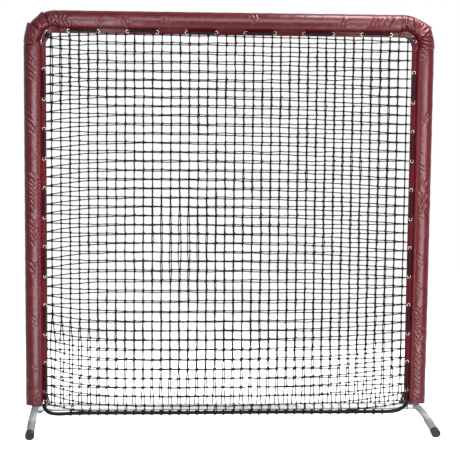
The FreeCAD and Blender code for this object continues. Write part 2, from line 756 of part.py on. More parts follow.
def strand_lines(low, high, count, passes):
    """Even strand places between two edges, each moved aside where a lace passes."""
    room = (value("Sizes.net_strand") + value("Sizes.lace_od")) / 2 + 2 * value("Sizes.lace_gap")
    lines = [low]
    for number in range(1, count):
        spot = low + (high - low) * number / count
        nearest = min(passes, key=lambda place: abs(place - spot))
        if abs(nearest - spot) < room:
            spot = nearest + math.copysign(room, spot - nearest)
        lines.append(spot)
    return lines + [high]


def make_net(name, end):
    """Flat net of square gaps between strands, its edge laced into the hems."""
    edge = value(NET_EDGE)
    border = value("Sizes.net_border")
    strand = value("Sizes.net_strand")
    thickness = value("Sizes.net_thickness")
    foot = value(TUBE) + value("Sizes.net_lift")
    outer = net_outline(edge, foot)
    inner = Part.Face(net_outline(edge + border, foot + border))
    half_span = value("Sizes.frame_span / 2") - edge - border
    tie_columns, tie_rows = zip(*corner_tie_spots())
    top_count = int(value("Sizes.top_grommets"))
    passes = [value(TOP_PITCH) * (number - (top_count - 1) / 2) for number in range(top_count)]
    passes += [side * across for side in SIDES.values() for across in tie_columns]
    columns = strand_lines(-half_span, half_span, int(value("Sizes.net_columns")), passes)
    top = value("Sizes.frame_rise") - edge - border
    low_pass = value("Sizes.side_lace_start")
    passes = [low_pass + value(SIDE_PITCH) * number for number in range(int(value("Sizes.side_grommets")))]
    passes += [value("Sizes.tab_grommet_rise"), *tie_rows]
    rows = strand_lines(foot + border, top, int(value("Sizes.net_rows")), passes)
    gaps = []
    for left, right in zip(columns, columns[1:]):
        left += strand / 2 if left > columns[0] else 0
        right -= strand / 2 if right < columns[-1] else 0
        for low, high in zip(rows, rows[1:]):
            low += strand / 2 if low > rows[0] else 0
            high -= strand / 2 if high < rows[-1] else 0
            spots = [(left, low), (right, low), (right, high), (left, high), (left, low)]
            gap = Part.makePolygon([FreeCAD.Vector(across, 0, up) for across, up in spots])
            face = Part.Face(gap).common(inner)
            gaps += [part.OuterWire for part in face.Faces]
    holed = Part.makeFace([outer] + gaps, "Part::FaceMakerBullseye")
    net = holed.extrude(FreeCAD.Vector(0, end * thickness, 0))
    net.translate(FreeCAD.Vector(0, end * value("Sizes.net_gap") / 2, 0))
    print(f"{name}: {len(gaps)} gaps")
    solid_node(name, net.Solids[0])


def check_and_write():
    """Stop at a failed feature or a bad shape, or else write one file for each sub-part."""
    for thing in doc.Objects:
        if {"Invalid", "Error"} & set(thing.State):
            raise RuntimeError(f"{thing.Label} failed: {thing.State}")
    for name, thing in nodes.items():
        if thing.Shape.isNull() or not thing.Shape.isValid():
            raise RuntimeError(f"{name} has no valid shape")
    os.makedirs("parts", exist_ok=True)
    for name, thing in nodes.items():
        thing.Shape.exportStep(f"parts/{name}.step")
        print(f"{name}: {len(thing.Shape.Solids)} solids, {thing.Shape.Volume / 1000:.1f} cm3")


make_top_rail()
make_bottom_rail()
make_top_pad()
for side_name, side_sign in SIDES.items():
    make_upright(side_name + "_upright", side_sign)
    make_leg_arch(side_name + "_leg_arch", side_sign)
    make_side_pad(side_name, side_sign)
    make_corner_pad(side_name, side_sign)
    for end_name, end_sign in ENDS.items():
        make_foot(f"{end_name}_{side_name}", side_sign, end_sign)
doc.recompute()
for side_name, side_sign in SIDES.items():
    make_side_lace(side_name + "_lace", side_sign)
    make_corner_tie(side_name + "_corner_tie", side_sign)
    make_end_tie(side_name + "_end_tie", side_sign)
make_top_lace()
make_border_rope()
make_rail_lashings()
make_net("front_net", FRONT)
make_net("back_net", REAR)
doc.recompute()
check_and_write()
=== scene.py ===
# %% [markdown]
# # A padded ball-stop net
#
# A square steel frame stands on two arched legs. Foam pads in maroon vinyl are laced round its left, top and right
# sides, and a doubled, knotted net hangs between them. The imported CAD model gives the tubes, feet and caps as they are.
# Everything soft is made again here: the net with its real mesh, the vinyl with its folds, and the cords.

# %% Load the frame
import math
from functools import partialmethod

import bmesh
import bpy
import numpy as np
from mathutils import Matrix, Vector


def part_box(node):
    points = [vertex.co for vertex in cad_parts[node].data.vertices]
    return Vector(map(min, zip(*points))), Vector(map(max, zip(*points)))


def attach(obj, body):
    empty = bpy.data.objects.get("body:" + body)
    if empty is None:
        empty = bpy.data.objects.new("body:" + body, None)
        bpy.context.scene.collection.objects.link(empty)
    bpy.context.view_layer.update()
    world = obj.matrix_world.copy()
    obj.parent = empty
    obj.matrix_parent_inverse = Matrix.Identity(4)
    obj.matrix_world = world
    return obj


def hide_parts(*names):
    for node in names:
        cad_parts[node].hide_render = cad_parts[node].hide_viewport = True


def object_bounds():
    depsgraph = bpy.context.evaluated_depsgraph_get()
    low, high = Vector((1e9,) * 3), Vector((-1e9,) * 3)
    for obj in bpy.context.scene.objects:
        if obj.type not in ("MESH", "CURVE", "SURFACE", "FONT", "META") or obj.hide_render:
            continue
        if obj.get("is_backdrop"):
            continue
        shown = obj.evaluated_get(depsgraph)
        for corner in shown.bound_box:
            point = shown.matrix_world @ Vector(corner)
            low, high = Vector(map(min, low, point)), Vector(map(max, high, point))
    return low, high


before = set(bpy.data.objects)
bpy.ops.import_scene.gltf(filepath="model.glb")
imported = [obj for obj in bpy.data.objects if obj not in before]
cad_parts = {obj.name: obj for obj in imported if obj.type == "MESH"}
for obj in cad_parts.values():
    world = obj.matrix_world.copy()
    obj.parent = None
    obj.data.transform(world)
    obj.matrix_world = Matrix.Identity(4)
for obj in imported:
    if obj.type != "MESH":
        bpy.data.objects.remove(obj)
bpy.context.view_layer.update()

print("nodes in the frame:", len(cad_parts))

# %% [markdown]
# ## The sizes that everything hangs on
#
# The soft pieces belong to the tubes, so their places are read from the boxes of the CAD nodes instead of being typed
# in again. The rail gives the lowest level, the upright gives half the span, and a cover gives the size of a pad.

# %% Read the frame's own sizes
SIDES = {"left": -1, "right": 1}
rail_low, rail_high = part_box("bottom_rail")
TUBE, RAIL = (rail_high.z - rail_low.z) / 2, (rail_high.z + rail_low.z) / 2
arch_low, arch_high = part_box("left_leg_arch")
SPAN = -(arch_low.x + arch_high.x) / 2
top_low, top_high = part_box("top_rail")
TOP = (top_low.z + top_high.z) / 2
cover_low, cover_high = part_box("top_cover")
PAD, HEM = (cover_high.y - cover_low.y) / 2, TOP - cover_low.z
PAD_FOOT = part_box("left_cover")[0].z
REACH = -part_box("left_corner_cover")[1].x
BEND = SPAN - REACH
lace_low, lace_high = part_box("left_lace")
LACE_LINE = SPAN + (lace_low.x + lace_high.x) / 2

# Measured in the picture: from eyelet to eyelet, from knot to knot, and where the rope lies from the rail's axis
PITCH, MESH = 0.1524, 0.0476
ROPE_DEPTH, ROPE_DROP = -0.0125, -0.0268
print(f"rail {RAIL:.4f}, half span {SPAN:.4f}, top tube {TOP:.4f}, pad {PAD:.4f}, hem {HEM:.4f}, lace {LACE_LINE:.4f}")


def at_corner(sign, radius, angle):
    """Across and up of a spot at a radius and an angle about the middle of a corner's bend."""
    return sign * (REACH + radius * np.cos(angle)), TOP - BEND + radius * np.sin(angle)


def new_object(name, data):
    thing = bpy.data.objects.new(name, data)
    bpy.context.collection.objects.link(thing)
    return thing


# %% [markdown]
# ## The camera
#
# The picture was taken from a little left of the middle, at chest height, and then cropped. A crop moves
# the middle of the picture without turning the camera, which is what a shift does in Blender.

# %% Place the camera
PICTURE, FILM = 460, 36
FOCAL, CENTRE_X, CENTRE_Y = 1000.0, 162.8, 297.2
CAMERA_PLACE = (-0.604, -5.247, 1.1156)
yaw, pitch, roll = (math.radians(angle) for angle in (2.81, 4.72, 0.24))
forward = Vector((math.sin(yaw) * math.cos(pitch), math.cos(yaw) * math.cos(pitch), -math.sin(pitch)))
level = Vector((math.cos(yaw), -math.sin(yaw), 0))
upward = level.cross(forward)
right = math.cos(roll) * level + math.sin(roll) * upward
above = -math.sin(roll) * level + math.cos(roll) * upward
lens = bpy.data.cameras.new("camera")
lens.sensor_width, lens.lens, lens.clip_end = FILM, FOCAL / PICTURE * FILM, 200
lens.shift_x, lens.shift_y = (PICTURE / 2 - CENTRE_X) / PICTURE, (CENTRE_Y - PICTURE / 2) / PICTURE
camera = new_object("camera", lens)
camera.matrix_world = Matrix.Translation(CAMERA_PLACE) @ Matrix((right, above, -forward)).transposed().to_4x4()
bpy.context.scene.camera = camera
print("lens", round(lens.lens, 1), "mm, shift", round(lens.shift_x, 3), round(lens.shift_y, 3))

# %% [markdown]
# ## Nodes with less typing
#
# Both geometry and materials are made of nodes. A `Board` adds nodes to a tree, wires what it is given and hands back
# an `Output`. Outputs let a formula be written as in Python, with each sign becoming one Math node.

# %% Outputs to calculate with
class Output:
    """One output of a node, which can be added, multiplied and so on."""

    def __init__(self, board, socket):
        self.board, self.socket = board, socket

    def __getitem__(self, label):
        """Another output of the same node."""
        return Output(self.board, self.socket.node.outputs[label])

    def calculate(self, operation, *others):
        return self.board.add("Math", dict(enumerate((self, *others))), operation=operation)

    __add__ = __radd__ = partialmethod(calculate, "ADD")
    __sub__ = partialmethod(calculate, "SUBTRACT")
    __mul__ = __rmul__ = partialmethod(calculate, "MULTIPLY")
    __truediv__ = partialmethod(calculate, "DIVIDE")
    exp = partialmethod(calculate, "EXPONENT")
    least = partialmethod(calculate, "MINIMUM")
    most = partialmethod(calculate, "MAXIMUM")

    def __rsub__(self, other):
        return self * -1 + other

    def hump(self, middle, width):
        """1 at middle, falling to 0 a few widths away."""
        away = (self - middle) / width
        return (away * away * -1).exp()

    def fade(self, reach):
        """1 up to 0, then falling away over a reach."""
        return (self * -1 / reach).least(0).exp()

    def between(self, low, high):
        """0 below low, 1 above high, smooth in between."""
        return self.board.add("MapRange", {0: self, 1: low, 2: high}, interpolation_type="SMOOTHSTEP")

    def towards(self, other, share):
        return self * (1 - share) + other * share


print("outputs can be calculated with")


# %% A board for nodes
class Board:
    """Adds nodes to a tree."""

    def __init__(self, tree):
        self.tree = tree

    def plug(self, socket, given):
        if isinstance(given, Output):
            self.tree.links.new(given.socket, socket)
        else:
            socket.default_value = given

    def add(self, kind, plugs=(), **settings):
        """A node of a kind, which is named without its prefix, with its settings made and its inputs plugged."""
        families = ("ShaderNode", "GeometryNode", "FunctionNode", "Node")
        node = self.tree.nodes.new(next(family + kind for family in families if hasattr(bpy.types, family + kind)))
        for name, setting in settings.items():
            setattr(node, name, setting)
        for name, given in dict(plugs).items():
            self.plug(node.inputs[name], given)
        return Output(self, node.outputs[0] if node.outputs else None)

    def split(self, vector):
        parts = self.add("SeparateXYZ", {0: vector})
        return [parts[place] for place in range(3)]

    def join(self, x, y, z):
        return self.add("CombineXYZ", {0: x, 1: y, 2: z})

    def noise(self, vector, scale, detail=2.0):
        return self.add("TexNoise", {"Vector": vector, "Scale": scale, "Detail": detail})

    def blend(self, share, first, second):
        """A colour between two."""
        return self.add("Mix", {0: share, 6: first, 7: second}, data_type="RGBA")[2]

    def store(self, geometry, name, given, kind="FLOAT", domain="POINT"):
        plugs = {"Geometry": geometry, "Name": name, "Value": given}
        return self.add("StoreNamedAttribute", plugs, data_type=kind, domain=domain)

    def ring(self, sides, radius):
        return self.add("CurvePrimitiveCircle", {"Resolution": sides, "Radius": radius})

    def sweep(self, path, profile, caps=False):
        return self.add("CurveToMesh", {"Curve": path, "Profile Curve": profile, "Fill Caps": caps})

    def sweep_cord(self, path, profile, caps):
        """A tube along a path, with a UV map in metres that runs along it and round it."""
        run = self.add("SplineParameter")["Length"]
        tube = self.sweep(self.store(path, "run", run), self.store(profile, "girth", run), caps)
        names = ("run", "girth")
        along, around = (self.add("InputNamedAttribute", {"Name": name}, data_type="FLOAT") for name in names)
        return self.store(tube, "UVMap", self.join(along, around, 0.0), "FLOAT2", "CORNER")


def new_group(family, name, inputs, outputs):
    """A node group's board and inputs. Each input is given by its usual value, or by the kind of its socket."""
    tree = bpy.data.node_groups.new(name, family + "NodeTree")
    for label, usual in inputs.items():
        kind = usual if isinstance(usual, str) else {float: "Float", int: "Int", bool: "Bool"}[type(usual)]
        socket = tree.interface.new_socket(label, in_out="INPUT", socket_type="NodeSocket" + kind)
        if kind != usual:
            socket.default_value = usual
    for label, kind in outputs.items():
        tree.interface.new_socket(label, in_out="OUTPUT", socket_type="NodeSocket" + kind)
    board = Board(tree)
    return board, board.add("GroupInput")


print("boards are ready")

# %% [markdown]
# ## Geometry trees and plain meshes
#
# A tree has named inputs for its sizes. `grow` sets them on a modifier by each socket's identifier, lets Blender work
# the tree out, and keeps the result as a plain mesh, because the piece must stand without its tree once it is exported.

# %% Grow a mesh from a tree
def new_tree(name, sizes):
    """A geometry tree with one input for each size."""
    inputs = {"Geometry": "Geometry", **sizes, "Material": "Material"}
    return new_group("Geometry", name, inputs, {"Geometry": "Geometry"})


def finish_tree(board, given, geometry):
    """Real copies of all instances, shaded smooth, with the material set."""
    real = board.add("RealizeInstances", {0: geometry})
    shaded = board.add("SetShadeSmooth", {"Geometry": real, "Shade Smooth": True})
    board.add("GroupOutput", {0: board.add("SetMaterial", {"Geometry": shaded, "Material": given["Material"]})})
    print(f"{board.tree.name}: a tree of {len(board.tree.nodes)} nodes")
    return board.tree


def grow(name, tree, material, source=None, **sizes):
    """The plain mesh object that a tree makes of a source mesh or curve."""
    start = new_object(name + "_start", source or bpy.data.meshes.new(name + "_start"))
    modifier = start.modifiers.new("tree", "NODES")
    modifier.node_group = tree
    wanted = {label.replace("_", " "): size for label, size in sizes.items()}
    wanted["Material"] = material
    for item in tree.interface.items_tree:
        if item.in_out == "INPUT" and item.name in wanted:
            modifier[item.identifier] = wanted[item.name]
    bpy.context.view_layer.update()
    mesh = bpy.data.meshes.new_from_object(start.evaluated_get(bpy.context.evaluated_depsgraph_get()))
    mesh.name = name
    bpy.data.objects.remove(start)
    if not mesh.materials:
        mesh.materials.append(material)
    return new_object(name, mesh)


def settle(piece, slot, *replaced, body="frame"):
    """Fix a finished piece to its body and hide the CAD nodes it replaces. The slot it stands for is not used."""
    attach(piece, body)
    if replaced:
        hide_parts(*replaced)
    print(f"{piece.name}: {sum(len(face.vertices) - 2 for face in piece.data.polygons):,} triangles")
    return piece


print("trees can be grown")

# %% [markdown]
# ## A white studio
#
# The picture is cut out on white, with only a trace of shadow at the feet. The world is plain white to the camera and
# in reflections, and a softer light to everything else. The floor adds white of its own for the camera, so that it
# reads as paper but still takes the shadow.
#
# The pads tell where the lamps stood. Each side pad has one upright band of light, so a tall, narrow softbox stands in
# front of each. The top pad has a lower band from a wide box high in front, and a bright upper one at its right end
# from a box overhead. A last box lights the back, which the picture doesn't show.

# %% World, floor and lamps
WHITE, PAPER = (1, 1, 1, 1), (0.86, 0.86, 0.86, 1)
ROOM_LIGHT, PAPER_GLOW = 0.32, 0.73
FLOOR_SIZE = 60


def bare_board(owner):
    """The board of a world or a material, with none of its usual nodes."""
    owner.use_nodes = True
    owner.node_tree.nodes.clear()
    return Board(owner.node_tree)


def camera_sees(board):
    """1 on rays from the camera, or seen in gloss or through glass."""
    rays = board.add("LightPath")
    return rays["Is Camera Ray"].most(rays["Is Glossy Ray"]).most(rays["Is Transmission Ray"])


world = bpy.context.scene.world or bpy.data.worlds.new("studio")
bpy.context.scene.world = world
board = bare_board(world)
strength = camera_sees(board) * (1 - ROOM_LIGHT) + ROOM_LIGHT
board.add("OutputWorld", {0: board.add("Background", {"Color": WHITE, "Strength": strength})})

paper = bpy.data.materials.new("white_paper")
board = bare_board(paper)
matt = board.add("BsdfDiffuse", {"Color": PAPER})
glow = board.add("Emission", {"Color": WHITE, "Strength": camera_sees(board) * PAPER_GLOW})
board.add("OutputMaterial", {0: board.add("AddShader", {0: matt, 1: glow})})

floor_mesh = bpy.data.meshes.new("floor")
corners = [(x * FLOOR_SIZE, y * FLOOR_SIZE, 0) for x, y in ((-1, -1), (1, -1), (1, 1), (-1, 1))]
floor_mesh.from_pydata(corners, [], [(0, 1, 2, 3)])
floor_mesh.materials.append(paper)
new_object("floor", floor_mesh)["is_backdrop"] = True

SOFTBOXES = {  # place, what it is aimed at, width, height and power
    "left_strip": ((-0.70, -1.0, 1.06), (-0.70, 0, 1.06), 0.20, 2.0, 26),
    "right_strip": ((1.09, -1.0, 1.06), (1.09, 0, 1.06), 0.20, 2.0, 26),
    "high_strip": ((0.3, -2.2, 2.90), (0.2, 0, 2.1), 3.0, 0.30, 56),
    "overhead": ((1.12, -0.46, 3.4), (1.12, -0.05, 2.1), 1.0, 0.8, 74),
    "back_fill": ((0.4, 3.2, 1.9), (0.1, 0, 1.1), 3.4, 1.8, 92),
}
for name, (place, target, width, height, power) in SOFTBOXES.items():
    light = bpy.data.lights.new(name, "AREA")
    light.shape, light.size, light.size_y, light.energy = "RECTANGLE", width, height, power
    lamp = new_object(name, light)
    lamp.location = place
    lamp.rotation_mode = "QUATERNION"
    lamp.rotation_quaternion = (Vector(target) - Vector(place)).to_track_quat("-Z", "Y")
    lamp.visible_camera = False
print("studio: world and", len(bpy.data.lights), "softboxes")

# %% [markdown]
# ## Finishes
#
# Each finish is a Principled shader whose colour, roughness and bump vary over the surface. Effects that several of
# them share are groups: a fine pebble for what is moulded or embossed, a drift of dust and handling marks, and the
# plait of a cord.

# %% Shared shader groups
board, given = new_group("Shader", "pebble", {"Vector": "Vector", "Scale": 900.0}, {"Height": "Float"})
cells = board.add("TexVoronoi", {"Vector": given["Vector"], "Scale": given["Scale"]}, feature="SMOOTH_F1")
grain = board.noise(given["Vector"], given["Scale"] * 2.3)
board.add("GroupOutput", {"Height": cells["Distance"] * 0.7 + grain * 0.3})
PEBBLE = board.tree

inputs = {"Vector": "Vector", "Scale": 9.0, "Amount": 0.5}
board, given = new_group("Shader", "handling_marks", inputs, {"Cloud": "Float", "Scuff": "Float"})
cloud = board.noise(given["Vector"], given["Scale"], 6.0)
fine = board.noise(given["Vector"], given["Scale"] * 9, 4.0)
board.add("GroupOutput", {"Cloud": cloud, "Scuff": (fine * cloud).between(0.27, 0.42) * given["Amount"]})
MARKS = board.tree

inputs = {"UV": "Vector", "Width": 0.022, "Strands": 8.0}
board, given = new_group("Shader", "plait", inputs, {"Height": "Float", "Strand": "Float"})
along, around, _ = board.split(given["UV"])
slant = given["Strands"] / given["Width"] * (2 * math.pi) / 2
first, second = ((lines * slant).calculate("SINE") for lines in (along + around, along - around))
height = first.most(second) * 0.5 + first * second * 0.3 + 0.5
board.add("GroupOutput", {"Height": height, "Strand": (first - second) * 0.5 + 0.5})
PLAIT = board.tree
print("groups:", ", ".join(group.name for group in (PEBBLE, MARKS, PLAIT)))


# %% The material helpers
def srgb(red, green, blue):
    """A colour on the shader's scale from the 0 to 255 of a picture."""
    channels = [channel / 255 for channel in (red, green, blue)]
    return (*[c / 12.92 if c < 0.04045 else ((c + 0.055) / 1.055) ** 2.4 for c in channels], 1)


def new_material(name):
    """A material, the board to build it on, and its Object and UV coordinates."""
    material = bpy.data.materials.new(name)
    material.use_nodes = True
    board = Board(material.node_tree)
    places = board.add("TexCoord")
    return material, board, places["Object"], places["UV"]


def coat(board, **plugs):
    """Plug the inputs of the Principled shader, which are named with underscores for spaces."""
    shader = board.tree.nodes["Principled BSDF"]
    for label, given in plugs.items():
        board.plug(shader.inputs[label.replace("_", " ")], given)


def bump(board, height, distance):
    return board.add("Bump", {"Height": height, "Distance": distance, "Strength": 1.0})


def facing(board, blend):
    """0 where the surface faces the camera, 1 where it is seen edge-on."""
    return board.add("LayerWeight", {"Blend": blend})["Facing"]


def marks_on(board, spot, scale, amount):
    """A soft cloud of dirt and the scuffs of handling."""
    marks = board.add("Group", {"Vector": spot, "Scale": scale, "Amount": amount}, node_tree=MARKS)
    return marks["Cloud"], marks["Scuff"]


def pebble_on(board, spot, scale):
    return board.add("Group", {"Vector": spot, "Scale": scale}, node_tree=PEBBLE)


def paint_nodes(material, names):
    """The CAD's own pieces, in a better material."""
    for name in names:
        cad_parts[name].material_slots[0].material = material
    print(material.name, "on", len(names), "pieces")


FEET = [f"{end}_{side}_foot" for end in ("front", "rear") for side in SIDES]
print("feet:", ", ".join(FEET))

# %% [markdown]
# ## Galvanised tube
#
# Tube is dipped in zinc, so its grey is broken into soft cells, with dull patches where hands and ground have rubbed
# it. Voronoi cells give the zinc, and noise gives the rest. The legs are painted darker than the frame above them, a
# shaded and a lit copy of the same zinc, so the colour changes just under the rail. Layer Weight paints the edges
# darker, as painted shade for bright metal seen edge-on against white.

# %% Galvanised steel
zinc, board, spot, _ = new_material("galvanised_steel")
cell = board.split(board.add("TexVoronoi", {"Vector": spot, "Scale": 140.0})["Color"])[0]
cloud, scuff = marks_on(board, spot, 14.0, 0.6)
tone = (cell * 0.25 + cloud * 0.9 - 0.1).least(1).most(0)
# Painted light: the frame above the rail is painted lighter and the legs darker, a lit and a shaded copy of one zinc.
painted_lit_zinc = board.blend(tone, srgb(150, 151, 153), srgb(190, 191, 193))
tone_with_painted_light = board.blend(tone, srgb(109, 110, 112), srgb(149, 150, 152))
edge_on = facing(board, 0.5)
body = board.blend(board.split(spot)[2].between(RAIL - 0.030, RAIL - 0.012), tone_with_painted_light, painted_lit_zinc)
# Painted shade: Layer Weight darkens the base colour towards srgb(70, 71, 73) where the tube is seen edge-on.
coat(
    board, Base_Color=board.blend(edge_on * edge_on * 0.75, body, srgb(70, 71, 73)),
    Roughness=cell * 0.08 + cloud * 0.18 + scuff * 0.2 + 0.3, Metallic=0.55 - scuff * 0.3,
    Specular_IOR_Level=0.25, Specular_Tint=(0.4, 0.41, 0.42, 1), Normal=bump(board, cell * 0.3 + cloud, 0.0003),
)
legs = ["left_leg_arch", "right_leg_arch"] + [f"{foot}_tube" for foot in FEET]
paint_nodes(zinc, ["top_rail", "bottom_rail", "left_upright", "right_upright"] + legs)

# %% [markdown]
# ## Rubber
#
# The caps are moulded rubber: nearly black, dull, finely pebbled, and greyer with dust towards the floor.

# %% Rubber caps
rubber, board, spot, _ = new_material("moulded_rubber")
cloud, scuff = marks_on(board, spot, 40.0, 1.0)
low = 1 - board.split(spot)[2].between(0.0, 0.02)
dust = (scuff * 0.5 + low * cloud * 0.6).least(1)
coat(
    board, Base_Color=board.blend(dust, srgb(22, 22, 23), srgb(62, 61, 58)), Roughness=dust * 0.3 + 0.5,
    Specular_IOR_Level=0.2, Normal=bump(board, pebble_on(board, spot, 700.0), 0.0002),
)
paint_nodes(rubber, [f"{foot}_cap" for foot in FEET])

# %% [markdown]
# ## Maroon vinyl
#
# Coated cloth: a satin skin with a fine leather grain and a woven backing that just shows through. Its pattern follows
# the sheet, so it reads the piece's own UV map, which also says where the flat hems are: they are duller, and painted
# darker as shade.
# The sheets carry their folds' height as an attribute: the skin is painted darker in a valley as shade, and painted
# paler on a crown as a highlight, along with real scuffs.

# %% Vinyl
CUT_WIDTH, THREADS = 0.317, 4200
vinyl, board, spot, cloth = new_material("maroon_vinyl")
cloud, scuff = marks_on(board, spot, 7.0, 0.7)
across, along, _ = board.split(cloth)
thread = (across * THREADS).calculate("SINE") * (along * THREADS).calculate("SINE")
# The hem mask lowers the gloss of the flat hems and paints them darker as painted shade.
hem = 1 - across.least(CUT_WIDTH - across).between(HEM - PAD - 0.002, HEM - PAD + 0.004)
fold = board.add("Attribute", attribute_name="fold")["Fac"]
# Painted shade: the skin is darker in the folds' valleys, and a little darker on the hems.
valley = (fold * -0.42).most(0).least(0.5).most(hem * 0.3)
# Painted highlight on the folds' crowns, mixed with the real pale scuffs of handling.
crown = (fold * 0.14).most(scuff * 0.12).least(0.2)
tone_with_painted_light = board.blend(crown, board.blend(cloud, srgb(59, 3, 9), srgb(71, 5, 15)), srgb(130, 62, 68))
edge_on = facing(board, 0.4)
gloss = 0.27 - edge_on * edge_on * 0.24
coat(
    board, Base_Color=board.blend(valley, tone_with_painted_light, srgb(30, 1, 5)), Roughness=cloud * 0.06 + scuff * 0.08 + 0.27,
    Specular_IOR_Level=gloss * (1 - hem * 0.5),
    Normal=bump(board, pebble_on(board, spot, 800.0) * 0.8 + thread * 0.2, 0.00004),
)
print("vinyl is ready")

# %% [markdown]
# ## Nickel, cord, twine and foam
#
# Eyelets are stamped and plated. Cord is plaited, so its pattern is the plait group on a UV map in metres that runs
# along the cord. Twine is thinner and tarred, and foam has open pores where it was cut.

# %% Nickel, cord, twine and foam
nickel, board, spot, _ = new_material("plated_nickel")
cloud, scuff = marks_on(board, spot, 160.0, 1.0)
coat(
    board, Base_Color=board.blend(scuff, srgb(138, 137, 133), srgb(96, 94, 89)), Roughness=cloud * 0.2 + 0.14,
    Metallic=1 - scuff * 0.2, Normal=bump(board, cloud, 0.0001),
)


def cord_material(name, width, strands, dark, light, rough):
    """Plaited cord, with its fibres a little lighter on the crowns."""
    material, board, spot, cord = new_material(name)
    crown = board.add("Group", {"UV": cord, "Width": width, "Strands": strands}, node_tree=PLAIT)["Height"]
    fuzz = board.noise(spot, 900.0, 4.0)
    coat(
        board, Base_Color=board.blend(crown * fuzz * 1.2, dark, light), Roughness=fuzz * 0.2 + rough,
        Specular_IOR_Level=0.12 - facing(board, 0.5) * 0.12, Normal=bump(board, crown + fuzz * 0.25, 0.0006),
    )
    return material


lace_finish = cord_material("braided_lace", 0.022, 8.0, srgb(6, 6, 7), srgb(26, 26, 28), 0.6)
rope_finish = cord_material("border_rope", 0.035, 6.0, srgb(6, 6, 7), srgb(26, 26, 28), 0.6)
twine_finish = cord_material("net_twine", 0.0085, 3.0, srgb(8, 8, 9), srgb(30, 30, 32), 0.55)

foam, board, spot, _ = new_material("closed_foam")
pore = board.add("TexVoronoi", {"Vector": spot, "Scale": 650.0}, feature="SMOOTH_F1")["Distance"]
coat(
    board, Base_Color=board.blend(pore, srgb(34, 34, 36), srgb(70, 70, 72)), Roughness=pore * 0.1 + 0.82,
    Normal=bump(board, pore, 0.0008),
)
print("nickel, cords and foam are ready")

# %% [markdown]
# ## The net
#
# A knotted net in two layers, like a pillowcase. The back layer is pulled taut. The front layer is slacker, so between
# the hems its meshes sink by up to one whole mesh, and the two sets of strands cross each other or run as pairs.
#
# It is a rule repeated 1,700 times, so it is a tree: a grid of knots is pinned at its edges, sunk and swung by
# formulas, led round the rail to the rope, and then each edge becomes twine and each point gets a knot.

# %% The places of the knots
NET_SIZES = {
    "Columns": 42, "Rows": 43, "Pitch": MESH, "Drop": 0.0474, "Left": -0.9741, "Top": 2.0188, "Half Width": 0.9705,
    "Highest": 1.9655, "Sink": 0.0, "Swing": 0.0, "Depth": 0.0, "Skin": 0.0018, "Rail Side": -1.0,
    "Rope Depth": ROPE_DEPTH, "Rope Drop": ROPE_DROP, "Rail": RAIL, "Clear": 0.0205, "Twine": 0.0027, "Seed": 1,
    "Knots": False,
}
HEM_LINE = 0.953  # half the width between the laces
WANDER, BOW = (0.014, 0.012, 0.014), 0.006  # how far a knot and the middle of a strand stray, in all

board, net = new_tree("knotted_net", NET_SIZES)
plugs = {"Vertices X": net["Columns"], "Vertices Y": net["Rows"], "Size X": 1.0, "Size Y": 1.0}
grid = board.add("MeshGrid", plugs)
cell_x, cell_y, _ = board.split(board.add("InputPosition"))
flat_x = net["Left"] + net["Pitch"] * (net["Columns"] - 1) * (cell_x + 0.5)
flat_z = net["Top"] - net["Drop"] * (net["Rows"] - 1) * (0.5 - cell_y)

# The meshes sink most at some heights, and less near the hems
from_left = flat_x + HEM_LINE
left_free, right_free = 1 - from_left.fade(0.16), 1 - (HEM_LINE - flat_x).fade(flat_z * 0.175 + 0.30)
share = flat_z.between(1.80, 1.55) * 0.35 - flat_z.between(0.77, 0.45) * 0.85 - flat_z.between(0.42, 0.2) * 0.42 + 0.5
sunk = flat_z + net["Drop"] * left_free * right_free * (share + net["Sink"])

# They swing to the right at the rail, at two heights of the left side and a little in the middle
swing = (
    (flat_z - 0.05).fade(0.12) * 0.020
    + flat_z.hump(0.33, 0.12) * (from_left * -1 / 0.25).exp() * 0.029
    + flat_z.hump(1.75, 0.2) * (from_left * -1 / 0.2).exp() * 0.014
    + flat_x.hump(-0.25, 0.15) * flat_z.hump(0.85, 0.2) * 0.010
)
inner = flat_x.calculate("ABSOLUTE").between(HEM_LINE, 0.80)
wave = board.noise(board.join(flat_x, net["Seed"], flat_z), 9.0, 3.0)["Color"]
stray_x, stray_y, stray_z = ((part - 0.5) * span * inner for part, span in zip(board.split(wave), WANDER))
x = (flat_x + swing * net["Swing"] + stray_x).least(net["Half Width"]).most(net["Half Width"] * -1)
z = (sunk + stray_z).least(net["Highest"]).most(net["Rope Drop"])
loose = z.between(1.96, 1.80)
y = net["Depth"] * inner * loose + stray_y * loose + net["Skin"] * net["Rail Side"]

# Their last rows pass beside the rail and come to the rope
y = y.towards(net["Clear"] * net["Rail Side"], z.between(0.085, 0.02))
y = y.towards(net["Rope Depth"], z.between(-0.010, -0.0250))
placed = board.add("SetPosition", {"Geometry": grid, "Position": board.join(x, y, z)})
merged = board.add("MergeByDistance", {"Geometry": placed, "Distance": 0.009})
print("the places of the knots:", len(board.tree.nodes), "nodes")

# %% [markdown]
# ### Strands and knots
#
# Real twine under load bows a little from knot to knot, and it can't pass through the rail. So each strand gets one
# more point in its middle, which noise moves and the rail pushes off, before the edges are swept into tubes. A knot is
# two open loops across each other, copied to each point and turned by chance, so that no two look the same.

# %% The net's tree
wires = board.add("DeleteGeometry", {"Geometry": merged}, mode="ONLY_FACE")
halves = board.add("SubdivideMesh", {"Mesh": wires, "Level": 1})
bow_x, _, bow_z = board.split(board.noise(board.add("InputPosition"), 37.0)["Color"])
here_x, here_y, here_z = board.split(board.add("InputPosition"))
push = (net["Clear"] / (here_y * here_y + here_z * here_z).calculate("SQRT")).most(1)
bowed = board.join(here_x + (bow_x - 0.5) * BOW, here_y * push, here_z * push + (bow_z - 0.5) * BOW)
path = board.add("MeshToCurve", {"Mesh": board.add("SetPosition", {"Geometry": halves, "Position": bowed})})
twine = board.sweep_cord(path, board.ring(5, net["Twine"]), False)

